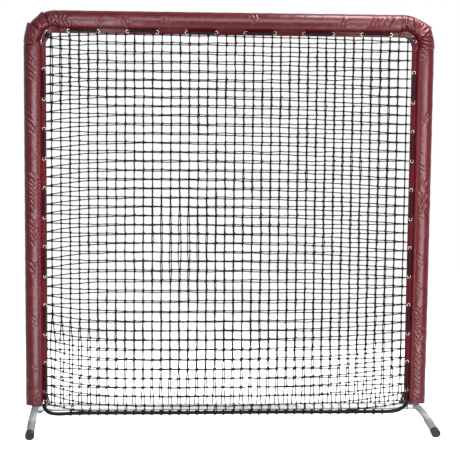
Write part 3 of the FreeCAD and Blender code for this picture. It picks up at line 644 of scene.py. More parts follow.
plugs = {"Resolution": 6, "Radius": net["Twine"] * 1.9, "Start Angle": 0.0, "Sweep Angle": math.radians(320)}
loop = board.sweep(board.add("CurveArc", plugs), board.ring(4, net["Twine"] * 1.05), True)
knot = board.add("JoinGeometry")
for tilt, spin, shift in ((74, 20, (0.0009, 0, 0.0008)), (14, 68, (-0.0007, 0, -0.0009))):
    turn = (math.radians(tilt), math.radians(spin), 0)
    part = board.add("Transform", {"Geometry": loop, "Rotation": turn, "Translation": shift})
    board.plug(knot.socket.node.inputs[0], part)
plugs = {"Seed": net["Seed"], "Min": (-0.5, -0.5, -0.5), "Max": (0.5, 0.5, 0.5)}
turned = board.add("RandomValue", plugs, data_type="FLOAT_VECTOR")
points = board.add("MeshToPoints", {"Mesh": merged})
knots = board.add("InstanceOnPoints", {"Points": points, "Instance": knot, "Rotation": turned})
plugs = {"Switch": net["Knots"], "False": twine, "True": knots}
chosen = board.add("Switch", plugs, input_type="GEOMETRY")
raised = board.add("Transform", {"Geometry": chosen, "Translation": board.join(0.0, 0.0, net["Rail"])})
NET_TREE = finish_tree(board, net, raised)

# %% Hang both layers
LAYERS = {
    "front": dict(Sink=-1.0, Swing=0.6, Depth=-0.0085, Rail_Side=-1.0, Rope_Depth=-0.0185, Seed=3),
    "back": dict(Sink=0.0, Swing=-0.4, Depth=0.0080, Rail_Side=1.0, Rope_Depth=-0.0060, Seed=8),
}
for layer, sizes in LAYERS.items():
    settle(grow(f"{layer}_net_twine", NET_TREE, twine_finish, **sizes), "black_net", f"{layer}_net")
    settle(grow(f"{layer}_net_knots", NET_TREE, twine_finish, Knots=True, **sizes), "black_net")

# %% [markdown]
# ## Vinyl covers
#
# Each cover is one sheet that starts at the front hem, goes round the foam and comes back to the rear hem, so it is
# built as one grid: rows along the pad, and points round it. Points lie closer together in front, where the creases
# need them. A Solidify modifier then gives the sheet its thickness, inwards.

# %% Build a sheet from a grid
SHEET, FOLD_HEIGHT = 0.0015, 0.0015  # the cloth's thickness, and the height at which the fold attribute is 1


def sheet_piece(name, points, girth, place, folds, turned):
    """A sheet through a grid of points, with its UV map in metres and the height of its folds, thickened inwards."""
    uv = np.stack([girth, place], axis=-1)
    if turned:
        points, uv, folds = points[::-1], uv[::-1], folds[::-1]
    rows, columns = points.shape[:2]
    corner = np.arange(rows * columns).reshape(rows, columns)
    faces = np.stack([corner[:-1, :-1], corner[:-1, 1:], corner[1:, 1:], corner[1:, :-1]], axis=-1).reshape(-1, 4)
    mesh = bpy.data.meshes.new(name)
    mesh.from_pydata(points.reshape(-1, 3).tolist(), [], faces.tolist())
    cloth = uv.reshape(-1, 2)[faces.reshape(-1)].astype(np.float32)
    mesh.uv_layers.new(name="UVMap").data.foreach_set("uv", cloth.ravel())
    heights = (folds / FOLD_HEIGHT).astype(np.float32)
    mesh.attributes.new("fold", "FLOAT", "POINT").data.foreach_set("value", heights.ravel())
    mesh.polygons.foreach_set("use_smooth", [True] * len(faces))
    mesh.materials.append(vinyl)
    piece = new_object(name, mesh)
    wall = piece.modifiers.new("wall", "SOLIDIFY")
    wall.thickness, wall.offset, wall.use_rim = SHEET, -1.0, True
    return piece


print("sheets can be built")

# %% The section of a cover
HEM_EDGE, HEM_RISE = 0.0042, 0.0068
NECK_ANGLE = math.radians(18)  # where the hem leaves the round of the pad
REAR_WEIGHT = 0.55  # how close the points lie behind, against 1 in front


def hem_face(u):
    """How far a hem's face stands off the net: the hems close on it towards their edges."""
    return HEM_EDGE + HEM_RISE * (HEM - u) / (HEM - PAD)


def cover_section(count):
    """Points round a cover, inwards and forwards of the tube, from the front hem's edge to the rear hem's."""
    flange = [(u, hem_face(u)) for u in np.linspace(HEM, PAD, 5)]
    neck = [(PAD - 0.0016, hem_face(PAD) + 0.0012), (PAD - 0.0018, hem_face(PAD) + 0.0030)]
    angles = np.linspace(NECK_ANGLE, math.pi, 400)
    half = np.array(flange + neck + [(PAD * math.cos(a), PAD * math.sin(a)) for a in angles])
    whole = np.concatenate([half, (half * [1, -1])[::-1][1:]])
    runs = np.linalg.norm(np.diff(whole, axis=0), axis=1)
    worth = np.where(np.arange(len(runs)) < len(half) * 1.08, 1.0, REAR_WEIGHT)
    length, weighed = (np.concatenate([[0], np.cumsum(steps)]) for steps in (runs, runs * worth))
    even = np.linspace(0, weighed[-1], count)
    return [np.interp(even, weighed, values) for values in (whole[:, 0], whole[:, 1], length)]


INWARD, FORWARD, GIRTH = cover_section(104)
TURN = np.arctan2(FORWARD, INWARD) % (2 * math.pi)
ARC = (math.pi / 2 - TURN) * PAD
print(f"a cover is cut {GIRTH[-1] * 1000:.0f} mm wide")


def section_over(shape):
    """The section's points, their angles and their arcs from the front line, repeated over a grid."""
    return [np.broadcast_to(values, shape) for values in (INWARD, FORWARD, TURN, ARC)]


# %% [markdown]
# ## Creases
#
# Coated cloth is laced tight round soft foam, so it creases on the slant where the lace drags it. The creases were
# found one by one in the picture and are listed by their ends: the place along the pad and the arc round it from its
# front line (towards the net is positive), then depth and width, all in millimetres. Each one is a narrow valley
# between two soft ridges. Small puckers come out of every eyelet, and the back, which the picture hides, gets slanting
# creases of the same kind at random places from a fixed seed.
#
# The bands of light on the pads are wider than a round pad would give, so their fronts are pulled a little flat. The
# same could be had from a cloth simulation, but measured creases put each fold where the picture has it.

# %% The creases seen in the picture
CREASES = {
    "left": [
        (1934, -28, 1882, 18, 1.4, 3.8), (1913, -32, 1861, 27, 1.6, 3.8), (1887, -32, 1830, 29, 1.6, 4),
        (1856, -32, 1809, 23, 1.2, 3.8), (1830, -29, 1788, 18, 1, 3.6), (1663, -42, 1627, -10, 1, 3.6),
        (1632, -42, 1590, 1, 1.4, 3.8), (1595, -27, 1538, 22, 2, 4.2), (1569, -38, 1527, 6, 1.4, 4),
        (1543, -35, 1512, -5, 1, 3.6), (1423, -5, 1402, 21, 1, 3.6), (1340, -29, 1298, 32, 1.6, 4),
        (1319, -37, 1272, 20, 1.8, 4), (1295, -29, 1251, 17, 1.8, 4), (1272, -30, 1228, 20, 1.8, 4),
        (1246, -23, 1204, 20, 1.6, 4), (1222, -23, 1183, 20, 1.4, 4), (1199, -18, 1163, 19, 1.2, 3.8),
        (1173, -18, 1136, 17, 1, 3.8), (1152, -38, 1110, 3, 0.8, 3.8), (1095, -18, 1053, 24, 1.4, 4),
        (1074, -24, 1027, 19, 1.6, 4), (1048, -19, 1001, 21, 1.8, 4), (1022, -19, 975, 18, 1.4, 3.8),
        (991, -25, 949, 13, 0.8, 3.8), (886, -33, 837, 20, 2, 4.2), (865, -41, 829, -4, 1.4, 4),
        (839, -20, 803, 15, 1.4, 4), (813, -14, 782, 12, 0.8, 3.6), (704, -42, 678, -15, 1.2, 4.4),
        (594, -22, 568, 13, 1, 3.8), (573, -16, 547, 16, 1.2, 3.8), (553, -16, 527, 16, 0.8, 3.6),
        (334, -12, 308, 14, 0.9, 3.8), (308, -7, 287, 14, 0.8, 3.6), (250, -12, 222, -42, 1.2, 4),
        (229, -2, 203, -31, 0.6, 4), (182, 31, 151, 0, 1.8, 4), (162, 30, 136, -2, 1.6, 3.8),
        (214, 25, 193, 8, 0.8, 3.6),
    ],
    "right": [
        (1942, 73, 1926, 12, 1.2, 4.6), (1963, 46, 1942, -4, 0.8, 4), (1649, -14, 1596, 17, 1.6, 4),
        (1644, -28, 1602, 1, 1.2, 4), (1612, -41, 1570, -11, 0.8, 4), (1516, 41, 1500, 8, 0.7, 4),
        (1453, 38, 1431, 5, 0.6, 4), (1389, 35, 1362, -4, 1.2, 4), (1362, 28, 1336, -11, 0.8, 4),
        (1357, -4, 1336, -50, 0.8, 4), (1320, -33, 1266, 8, 1.4, 4.2), (1293, -50, 1251, -9, 1, 4),
        (1235, 46, 1197, 11, 1.4, 4), (1245, 28, 1208, -5, 1.2, 4), (1235, -22, 1171, 25, 2.2, 4.4),
        (1176, -12, 1139, 19, 2, 4.4), (1192, 32, 1165, 4, 1.2, 3.8), (1208, -5, 1171, -50, 1.2, 4),
        (1187, -18, 1149, -50, 1, 4), (1139, 35, 1112, 3, 0.8, 3.8), (1118, 30, 1091, -2, 0.8, 3.8),
        (1144, -7, 1091, -38, 0.6, 4.4), (921, 31, 894, -1, 0.8, 3.8), (899, 31, 868, -2, 0.9, 3.8),
        (873, 24, 846, -3, 0.7, 3.8), (766, 27, 745, 0, 0.7, 3.8), (745, 26, 713, -1, 0.8, 3.8),
        (724, 26, 697, 4, 0.6, 3.8), (644, 35, 612, -2, 1.2, 4), (623, 35, 580, -6, 1.6, 4),
        (599, 41, 554, -3, 1.8, 4.2), (575, 40, 532, 2, 1.8, 4.2), (548, 34, 506, 1, 1.8, 4.2),
        (522, 33, 485, 1, 1.6, 4), (490, 39, 447, 0, 1.6, 4), (458, 35, 421, 5, 1.4, 4),
        (516, -4, 485, -50, 1.4, 4.6), (495, -23, 458, 1, 1, 4.4), (453, -5, 415, -46, 1.2, 4.6),
        (399, 31, 368, -7, 1, 4), (368, 25, 341, -2, 1.2, 4), (341, 30, 309, 3, 1, 4), (405, -6, 373, -35, 0.8, 4.4),
        (314, 35, 282, -3, 1.2, 4), (293, 35, 261, -3, 1.2, 4), (261, 29, 229, -9, 1.2, 4),
        (235, 23, 208, -10, 0.8, 3.8), (173, 51, 128, -6, 2, 4.2), (187, 45, 149, -5, 1.4, 4),
        (144, 38, 112, 0, 1, 4), (112, 31, 96, -6, 0.8, 4), (357, -1, 304, -28, 0.6, 5),
    ],
    "top": [
        (-877, -28, -888, 2, 1.4, 4.4), (-862, -36, -877, 12, 1.4, 4.2), (-841, -21, -857, 12, 1.2, 4),
        (-857, 7, -836, 40, 1.6, 4.2), (-872, 7, -857, 40, 1.2, 4), (-830, 17, -815, 54, 1, 4),
        (-815, 22, -788, 54, 0.8, 4), (-689, 5, -668, 25, 1, 3.8), (-652, -1, -673, 31, 1, 3.8),
        (-694, 37, -678, 73, 0.8, 3.6), (-584, -13, -548, 35, 1.6, 4.2), (-574, -19, -527, 41, 2.2, 4.2),
        (-553, -20, -516, 29, 1.2, 4), (-369, 16, -349, -16, 0.9, 3.8), (-349, 16, -328, -11, 0.9, 3.8),
        (-328, 21, -317, -5, 0.6, 3.8), (-233, 14, -218, -12, 0.6, 4), (-155, 13, -144, -13, 0.6, 4),
        (112, -56, 120, -17, 2, 4.4), (120, -17, 112, 26, 2, 4.2), (133, -40, 149, 10, 1, 4),
        (97, -39, 104, 10, 0.8, 4), (112, 26, 102, 53, 1, 4), (374, -36, 379, -4, 0.4, 4.4),
        (489, -51, 495, -11, 0.4, 4.4), (589, -32, 555, 37, 1.4, 4), (605, -18, 573, 37, 1.2, 4),
        (746, -35, 709, 42, 1.6, 4), (767, -27, 730, 48, 1.8, 4), (788, -28, 749, 41, 1.4, 4),
        (819, -37, 777, 40, 1.4, 4), (851, -29, 811, 34, 2.2, 4.4), (835, -48, 804, 12, 1, 4),
    ],
}
print("creases:", {pad: len(found) for pad, found in CREASES.items()})

# %% Turn creases into heights
FLAT_REACH, CREASE_BREADTH = 0.026, 1.3
SIDE_FLAT, TOP_FLAT, CORNER_FLAT = (0.008, 0.0055), (-0.006, 0.0042), (0.004, 0.0022)  # the flat's place and depth


def flatten(arc, middle, depth):
    """The front of a pad is stretched a little flat by its laces."""
    return -depth * np.exp(-(((arc - middle) / FLAT_REACH) ** 2))


def soft_step(values, low, high):
    share = np.clip((values - low) / (high - low), 0, 1)
    return share * share * (3 - 2 * share)


def crease_lift(place, arc, creases):
    """How far the sheet stands out over a grid of places and arcs, in metres."""
    lift = np.zeros(place.shape)
    wavy = arc + 0.0010 * np.sin(place * 61 + arc * 35) + 0.0005 * np.sin(place * 173 - arc * 90)
    drift = place + 0.0014 * np.sin(arc * 88 + place * 27) + 0.0004 * np.sin(arc * 210 + place * 140)
    for place_a, arc_a, place_b, arc_b, depth, width in np.array(creases) / 1000:
        length = math.hypot(place_b - place_a, arc_b - arc_a)
        run, over = (place_b - place_a) / length, (arc_b - arc_a) / length
        near = np.abs(drift - (place_a + place_b) / 2) < length
        along = (drift[near] - place_a) * run + (wavy[near] - arc_a) * over
        side = ((wavy[near] - arc_a) * run - (drift[near] - place_a) * over) / (width * CREASE_BREADTH)
        fade = soft_step(along, -0.003, 0.012) * soft_step(length - along, -0.003, 0.014)
        ridges = 1.25 * np.exp(-((side - 1.7) / 1.15) ** 2) + 0.55 * np.exp(-((side + 1.8) / 1.3) ** 2)
        lift[near] += depth * fade * (-1.55 * np.exp(-side**2) + ridges)
    return lift


def softness(place, arc, seed):
    """The slow, shallow unevenness of foam under a skin."""
    shift = seed * 1.7
    slow = 0.0004 * np.sin(place * 37 + shift) * np.cos(arc * 21 + shift)
    return slow + 0.0003 * np.sin(place * 83 + arc * 46 + shift)


print("folds can be worked out")

# %% Creases that the picture doesn't show
PUCKER_ROOTS = ((63, -1), (-211, 1))  # the arc of the front and of the rear eyelets, and the way off the hem


def unseen_creases(low, high, slant, seed):
    """Slanting creases on the outer and rear faces, which the picture hides."""
    chance = np.random.default_rng(seed)
    found = []
    for _ in range(46):
        place = chance.uniform(low + 30, high - 30)
        arc = chance.uniform(-195, -85)
        span = chance.uniform(22, 48)
        rise = slant * chance.uniform(0.6, 1.2) * span / 2
        for number in range(chance.integers(1, 4)):
            spot = place + number * chance.uniform(15, 21)
            found.append((spot + rise, arc - span / 2, spot - rise, arc + span / 2, chance.uniform(0.5, 1.6), 4))
    return found


def puckers(places, seed):
    """Short creases that the lace pulls out of each eyelet, in front and behind."""
    chance = np.random.default_rng(seed)
    found = []
    for place in np.array(places) * 1000:
        for rim, away in PUCKER_ROOTS:
            for lean in (-1.0, 0.0, 1.0):
                reach = chance.uniform(9, 22)
                drop = (lean + chance.uniform(-0.4, 0.4)) * reach
                found.append((place + lean * 4, rim, place + drop, rim + away * reach, chance.uniform(0.5, 1.1), 3.2))
    return found


print("creases can be made up where the picture has none")

# %% [markdown]
# ## Straight covers
#
# The section is carried along the tube, and the creases move its points in and out from the tube's axis. At the foot
# of each side pad the front hem runs on as a small tab, which the picture shows turned in towards the net.

# %% Left, right and top covers
TAB_LENGTH, TAB_REACH = 0.062, {"left": 0.013, "right": 0.026}


def straight_cover(name, start, along, inward, length, rows, creases, seed, flat, tab=0.0):
    start, along, inward, front = (np.array(v, dtype=float) for v in (start, along, inward, (0, -1, 0)))
    girth, place = np.meshgrid(GIRTH, np.linspace(0, length, rows))
    u, v, turn, arc = section_over(place.shape)
    flange, free = soft_step(u, PAD - 0.002, HEM), soft_step(PAD - u, 0.0026, 0.010)
    level = place + float(np.dot(start, along))
    folds = crease_lift(level, arc, creases) * free
    lift = folds + (softness(level, arc, seed) + flatten(arc, *flat)) * free
    u, v = u + lift * np.cos(turn), v + lift * np.sin(turn)
    if tab:
        foot = flange * soft_step(-place, -TAB_LENGTH, -0.004)
        slit = 0.026 * np.exp(-(((u - PAD - 0.0010) / 0.0058) ** 2)) * np.clip(1 - place / TAB_LENGTH, 0, 1)
        place, u, v = place + slit - 0.004 * foot, u + tab * foot, v * (1 - 0.3 * foot)
    points = start + place[..., None] * along + u[..., None] * inward + v[..., None] * front
    return sheet_piece(name, points, girth, place, folds, np.dot(np.cross(along, inward), front) < 0)


EYELET_RIM = 0.009  # from the middle of a CAD eyelet to its rim
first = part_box("left_grommets")[1].z - EYELET_RIM - 11 * PITCH
side_heights = [first + PITCH * count for count in range(12)]
top_places = [PITCH * (count - 5.5) for count in range(12)]
for seed, (side, sign) in enumerate(SIDES.items()):
    creases = CREASES[side] + puckers(side_heights, seed) + unseen_creases(PAD_FOOT * 1000, 1960, -1.0, seed + 5)
    line = ((sign * SPAN, 0, PAD_FOOT), (0, 0, 1), (-sign, 0, 0), TOP - BEND - PAD_FOOT, 500)
    piece = straight_cover(f"{side}_pad_cover", *line, creases, seed, SIDE_FLAT, TAB_REACH[side])
    settle(piece, "maroon_vinyl", f"{side}_cover")
creases = CREASES["top"] + puckers(top_places, 9) + unseen_creases(-870, 870, 0.9, 12)
line = ((-REACH, 0, TOP), (1, 0, 0), (0, 0, -1), 2 * REACH, 480)
piece = straight_cover("top_pad_cover", *line, creases, 4, TOP_FLAT)
settle(piece, "maroon_vinyl", "top_cover")

# %% [markdown]
# ## Corner covers
#
# At a corner the same sheet has to turn, so its outer side is gathered into flat pleats that lie over each other like
# shingles. The outline was read from the picture as angle and radius about the corner, from the end of the side pad to
# the end of the top pad. A pleat lifts the sheet on one side of its fold and drops it on the other.

# %% The corners seen in the picture
CORNERS = {
    "left": {
        "outline": [
            (0, .1815), (6.6, .181), (26.9, .190), (36.4, .1955), (37.0, .189), (43.7, .1876), (53.7, .1864),
            (63.3, .1905), (64.0, .1868), (71, .1862), (90, .1815),
        ],
        "hem": [(0, .068), (15, .070), (35, .068), (61, .078), (75, .071), (90, .068)],
        "ties": [(14, .088), (48, .095)],
        "pleats": [
            ((84, 45), (87, -74), 6.5, -1), ((87, -74), (82, -200), 5.0, -1), ((147, 62), (152, -74), 6.0, -1),
            ((152, -74), (146, -200), 4.5, -1), ((17, -74), (6, -32), 3.5, 1), ((6, -32), (2.5, 12), 3.0, 1),
        ],
        "creases": [
            (71, -44, 60, 4, 2.4, 3.8), (62, -36, 55, 8, 1.6, 3.6), (52, -28, 46, 26, 2.4, 4),
            (40, -30, 33, 14, 2.0, 3.8), (30, -30, 12, 22, 2.6, 4), (78, 4, 70, 38, 1.4, 3.6),
            (124, -36, 112, 20, 1.2, 5), (100, 10, 106, 44, 1.2, 4), (198, -44, 208, 4, 2.2, 4.4),
            (186, 14, 200, 50, 1.8, 4.2), (170, -10, 160, 34, 1.4, 4.6), (184, -52, 190, -14, 1.4, 4),
        ],
    },
    "right": {
        "outline": [
            (0, .1815), (3.2, .183), (24, .191), (36.6, .2015), (37.6, .198), (55.7, .190), (67.5, .1867), (90, .182),
        ],
        "hem": [(0, .068), (20, .070), (45, .074), (70, .072), (80, .066), (90, .068)],
        "ties": [(30.5, .0915), (43.5, .0940)],
        "pleats": [
            ((72, 45), (77, -10), 6.5, 1), ((77, -10), (89, -74), 6.5, 1), ((89, -74), (78, -200), 4.0, 1),
            ((9, -74), (3, -20), 2.0, 1),
        ],
        "creases": [
            (78, 28, 38, -46, 3.0, 4), (64, 36, 26, -38, 3.2, 4.2), (44, 48, 10, -34, 3.0, 4.2),
            (26, 52, 4, 6, 2.2, 4), (158, -46, 134, 20, 2.8, 5), (134, 20, 124, 52, 2.2, 4.6),
            (139, -50, 133, -20, 1.7, 3), (128, -50, 122, -20, 1.8, 3), (116, -52, 110, -22, 1.8, 3),
            (105, -54, 99, -26, 1.6, 3), (190, 10, 168, 52, 2.6, 5), (206, -44, 196, 10, 2.0, 4.4),
            (150, 30, 142, 56, 1.6, 4), (96, 0, 88, -50, 1.4, 4),
        ],
    },
}
print("pleats:", {corner: len(facts["pleats"]) for corner, facts in CORNERS.items()})

# %% Corner covers with their pleats
CORNER_SEAM = -0.074  # the arc of the outermost line, where the sheet lies smooth


def pleat_lift(place, arc, pleats):
    """A fold at each line: the sheet rises towards it on one side, then drops into a groove on the other."""
    lift = np.zeros(place.shape)
    for (place_a, arc_a), (place_b, arc_b), height, high_side in pleats:
        ends = sorted([(arc_a / 1000, place_a / 1000), (arc_b / 1000, place_b / 1000)])
        (low, _), (high, _) = ends
        span = soft_step(arc, low - 0.005, low + 0.001) * soft_step(-arc, -high - 0.005, -high + 0.001)
        side = (place - np.interp(arc, *zip(*ends))) * high_side
        raised = np.clip(1 - np.maximum(side, 0) / 0.044, 0, 1) ** 1.6 * (side > -0.0007)
        groove = -0.8 * np.exp(-(((side + 0.0032) / 0.0028) ** 2)) * (side <= -0.0007)
        lift += height / 1000 * (raised + groove) * span
    return lift


def corner_section(facts, angle, u, v, lift, turn):
    """Radius about the corner and depth of points of a cover or of its foam."""
    outer, inner = (np.interp(np.degrees(angle), *zip(*facts[line])) for line in ("outline", "hem"))
    flange = soft_step(u, PAD - 0.002, HEM)
    squeeze = 0.016 * np.sin(2 * angle) ** 0.5 * soft_step(u, 0.0, 0.044) * (1 - flange)
    outwards = (outer - BEND - PAD) * np.clip(-u / PAD, 0, 1) ** 1.2
    radius = BEND - (u + lift * np.cos(turn)) + outwards + squeeze + (inner - BEND + HEM) * flange
    return radius, -(v + lift * np.sin(turn))


def corner_cover(name, sign, facts, seed):
    girth, angle = np.meshgrid(GIRTH, np.linspace(0, math.pi / 2, 250))
    u, v, turn, arc = section_over(angle.shape)
    place, free = angle * BEND, soft_step(PAD - u, 0.0026, 0.012)
    creases = facts["creases"] + unseen_creases(0, 212, -0.9, seed)[:8]
    lift = crease_lift(place, arc, creases) + pleat_lift(place, arc, facts["pleats"])
    lift *= free * soft_step(np.abs(arc - CORNER_SEAM), 0.002, 0.014)
    lift *= soft_step(angle, -0.01, 0.02) * soft_step(math.pi / 2 - angle, -0.01, 0.03)
    folds = np.minimum(lift, FOLD_HEIGHT)
    radius, depth = corner_section(facts, angle, u, v, lift + flatten(arc, *CORNER_FLAT) * free, turn)
    across, up = at_corner(sign, radius, angle)
    return sheet_piece(name, np.stack([across, depth, up], axis=-1), girth, place, folds, sign < 0)


for side, sign in SIDES.items():
    piece = corner_cover(f"{side}_corner_pleats", sign, CORNERS[side], 20 + sign)
    settle(piece, "maroon_vinyl", f"{side}_corner_cover")

# %% [markdown]
# ## Foam
#
# The foam is split tubing pushed over the steel. Only its cut ends show, at the feet of the side pads, so each piece
# is a plain sleeve with flat ends and the slit that let it on.

# %% Foam sleeves
FOAM_SKIN, FOAM_BORE, SLIT, SHARP_ANGLE = 0.0060, 0.0005, 0.06, math.radians(40)
spokes = np.linspace(SLIT, 2 * math.pi - SLIT, 49)
FOAM_ROUND = PAD - FOAM_SKIN + flatten((math.pi / 2 - spokes) * PAD, *SIDE_FLAT)


def foam_piece(name, place_section, count):
    """A slit sleeve. place_section puts one ring of (inward, forward) points at a share of the way along the pad."""
    shape = bmesh.new()
    skins = []
    for size in (FOAM_ROUND, TUBE + FOAM_BORE):
        u, v = size * np.cos(spokes), size * np.sin(spokes)
        rings = [place_section(step / (count - 1), u, v) for step in range(count)]
        skins.append([[shape.verts.new(point) for point in ring] for ring in rings])

    def join_rows(near, far):
        for quad in zip(near, near[1:], far[1:], far):
            shape.faces.new(quad)

    for skin in skins:
        for ring, following in zip(skin, skin[1:]):
            join_rows(ring, following)
    for end in (0, -1):
        join_rows(*[[ring[end] for ring in skin] for skin in skins])
        join_rows(skins[0][end], skins[1][end])
    bmesh.ops.recalc_face_normals(shape, faces=shape.faces)
    mesh = bpy.data.meshes.new(name)
    shape.to_mesh(mesh)
    shape.free()
    mesh.polygons.foreach_set("use_smooth", [True] * len(mesh.polygons))
    mesh.set_sharp_from_angle(angle=SHARP_ANGLE)
    mesh.materials.append(foam)
    return new_object(name, mesh)


low, high = PAD_FOOT + 0.003, TOP - BEND - 0.0002
for side, sign in SIDES.items():
    def beside(share, u, v, sign=sign):
        return [(sign * (SPAN - a), -b, low + (high - low) * share) for a, b in zip(u, v)]

    def round_corner(share, u, v, sign=sign, side=side):
        angle = math.pi / 2 * share
        radius, depth = corner_section(CORNERS[side], np.full(len(u), angle), u, v, 0.0, 0.0)
        eased = np.clip((np.hypot(u, v) - TUBE) / (PAD - TUBE), 0, 1)
        across, up = at_corner(sign, BEND - u + (radius - BEND + u) * eased, angle)
        return list(zip(across, depth, up))

    settle(foam_piece(f"{side}_foam_sleeve", beside, 21), "pad_foam", f"{side}_foam")
    settle(foam_piece(f"{side}_foam_elbow", round_corner, 25), "pad_foam", f"{side}_corner_foam")


def over_top(share, u, v):
    return [(REACH * (2 * share - 1) * 0.9995, -b, TOP - a) for a, b in zip(u, v)]


settle(foam_piece("top_foam_sleeve", over_top, 21), "pad_foam", "top_foam")

# %% [markdown]
# ## Eyelets
#
# An eyelet is a flanged ring pressed through the hem, with a rolled lip on each face. They repeat along the hems, so a
# tree sets one lathed ring at each point, turned to face out of its hem.

# %% Eyelets
HEM_SLOPE = math.atan2(HEM_RISE, HEM - PAD)
SUNK_IN = 0.0002  # how deep an eyelet is pressed into its hem
board, given = new_tree("eyelets", {"Radius": 0.0078, "Lip": 0.0024, "Flatness": 0.62})
ring = board.sweep(board.ring(28, given["Radius"]), board.ring(8, given["Lip"]))
flat = board.add("Transform", {"Geometry": ring, "Rotation": (math.radians(90), 0, 0)})
squeezed = board.add("Transform", {"Geometry": flat, "Scale": board.join(1.0, given["Flatness"], 1.0)})
points = board.add("MeshToPoints", {"Mesh": given["Geometry"]})
lean = board.add("InputNamedAttribute", {"Name": "lean"}, data_type="FLOAT_VECTOR")
set_out = board.add("InstanceOnPoints", {"Points": points, "Instance": squeezed, "Rotation": lean})
EYELET_TREE = finish_tree(board, given, set_out)


def point_mesh(name, points, leans=None):
    """Loose points, each with a lean when its copy has to be turned."""
    mesh = bpy.data.meshes.new(name)
    mesh.from_pydata([tuple(point) for point in points], [], [])
    if leans is not None:
        turns = np.array(leans, dtype=np.float32).ravel()
        mesh.attributes.new("lean", "FLOAT_VECTOR", "POINT").data.foreach_set("vector", turns)
    return mesh


spots = {"top": [(x, TOP - LACE_LINE) for x in top_places]}
for side, sign in SIDES.items():
    tab_hole = (sign * (SPAN - LACE_LINE - TAB_REACH[side] * 0.8), PAD_FOOT + 0.016)
    spots[side] = [tab_hole] + [(sign * (SPAN - LACE_LINE), z) for z in side_heights]
    spots[f"{side}_corner"] = [at_corner(sign, radius, math.radians(turn)) for turn, radius in CORNERS[side]["ties"]]
for name, places in spots.items():
    sign = SIDES.get(name.removesuffix("_corner"), 0)
    set_in, leans = [], []
    for x, z in places:
        toward = Vector((0, 0, -1)) if name == "top" else Vector((-sign, 0, 0))
        if name.endswith("corner"):
            toward = Vector((sign * REACH - x, 0, TOP - BEND - z)).normalized()
        for face in (-1, 1):
            straight = Vector((0, face, 0))
            out = straight * math.cos(HEM_SLOPE) + toward * math.sin(HEM_SLOPE)
            set_in.append((x, face * (hem_face(LACE_LINE) - SUNK_IN), z))
            leans.append(tuple(straight.rotation_difference(out).to_euler()))
    holes = point_mesh(f"{name}_eyelets", set_in, leans)
    settle(grow(f"{name}_eyelets", EYELET_TREE, nickel, holes), "nickel_eyelet", f"{name}_grommets")

# %% [markdown]
# ## Laces
#
# One braided cord runs down each side and one along the top, in front between two eyelets and behind between the next
# two. It is held all the way, so it is a piece of the object and not a free cord. A smooth curve through a few points
# makes the path, and a tree gives it its round section and a UV map in metres for the plait.

# %% The cord's tree
board, given = new_tree("plaited_cord", {"Radius": 0.0035, "Sides": 12, "Spacing": 0.003})
path = board.add("ResampleCurve", {"Curve": given["Geometry"], "Length": given["Spacing"]}, mode="LENGTH")
cord = board.sweep_cord(path, board.ring(given["Sides"], given["Radius"]), True)
CORD_TREE = finish_tree(board, given, cord)


def smooth_path(name, points):
    """A smooth curve led by points."""
    curve = bpy.data.curves.new(name, "CURVE")
    curve.dimensions = "3D"
    spline = curve.splines.new("NURBS")
    spline.points.add(len(points) - 1)
    for target, point in zip(spline.points, points):
        target.co = (*point, 1)
    spline.order_u, spline.use_endpoint_u, spline.resolution_u = 3, True, 6
    return curve


def cord_piece(name, points, material, radius, sides=12, spacing=0.003):
    return grow(name, CORD_TREE, material, smooth_path(name, points), Radius=radius, Sides=sides, Spacing=spacing)


# %% Laces
LACE_OUT, LACE_RADIUS = 0.0140, 0.0050


def running_stitch(holes):
    """Places and depths of a lace through holes: in front of the hem and behind it by turns."""
    stitches, face = [], -1
    for hole, following in zip(holes, holes[1:]):
        run = following - hole
        stitches.append((hole, 0.0))
        stitches += [(hole + run * share, face * LACE_OUT) for share in (0.03, 0.12, 0.5, 0.88, 0.97)]
        face = -face
    return stitches + [(holes[-1], 0.0)]


head = side_heights[-1]
stitches = running_stitch(side_heights) + [(z, LACE_OUT) for z in (head + 0.005, head + 0.05, lace_high.z - 0.004)]
for side, sign in SIDES.items():
    points = [(sign * (SPAN - LACE_LINE), y, z) for z, y in stitches]
    settle(cord_piece(f"{side}_side_lace", points, lace_finish, LACE_RADIUS), "black_cord", f"{side}_lace")
lead = [(REACH - 0.03, LACE_OUT), (REACH - 0.004, LACE_OUT)]
stitches = [(-x, y) for x, y in reversed(lead)] + running_stitch(top_places) + lead
points = [(x, y, TOP - LACE_LINE) for x, y in stitches]
settle(cord_piece("top_edge_lace", points, lace_finish, LACE_RADIUS), "black_cord", "top_lace")

# %% [markdown]
# ## Ties and knots
#
# A short tie closes each top corner: on the left it has a round knot as large as a thumb, and on the right a small one
# close to its eyelets. Each side lace is made off at its foot in a wound knot with a loose tail.

# %% Ties
TIE_OUT = Vector((0, -0.0128, 0))
KNOTS = {"left": (41.6, 0.079, 0.0085), "right": (38.0, 0.098, 0.0050)}  # angle and radius of its place, and its size
TURNS, TURN_STEPS, WOUND_LENGTH = 5, 36, 0.030
KNOT_TAIL = [
    (0.0005, -0.004, 0.010), (0.003, -0.006, 0.024), (0.006, 0.002, 0.036), (0.005, 0.001, 0.046), (0.0035, 0, 0.058),
]


def ball_knot(centre, radius, sign):
    """A line that winds into a knot as large as a thumb: three loops over each other."""
    points = []
    for step in range(25):
        turn = step / 24 * 2 * math.pi
        reach = radius * (0.62 + 0.38 * math.cos(3 * turn))
        across, up = sign * reach * math.cos(2 * turn), reach * math.sin(2 * turn)
        points.append(centre + Vector((across, radius * 0.55 * math.sin(3 * turn), up)))
    return points


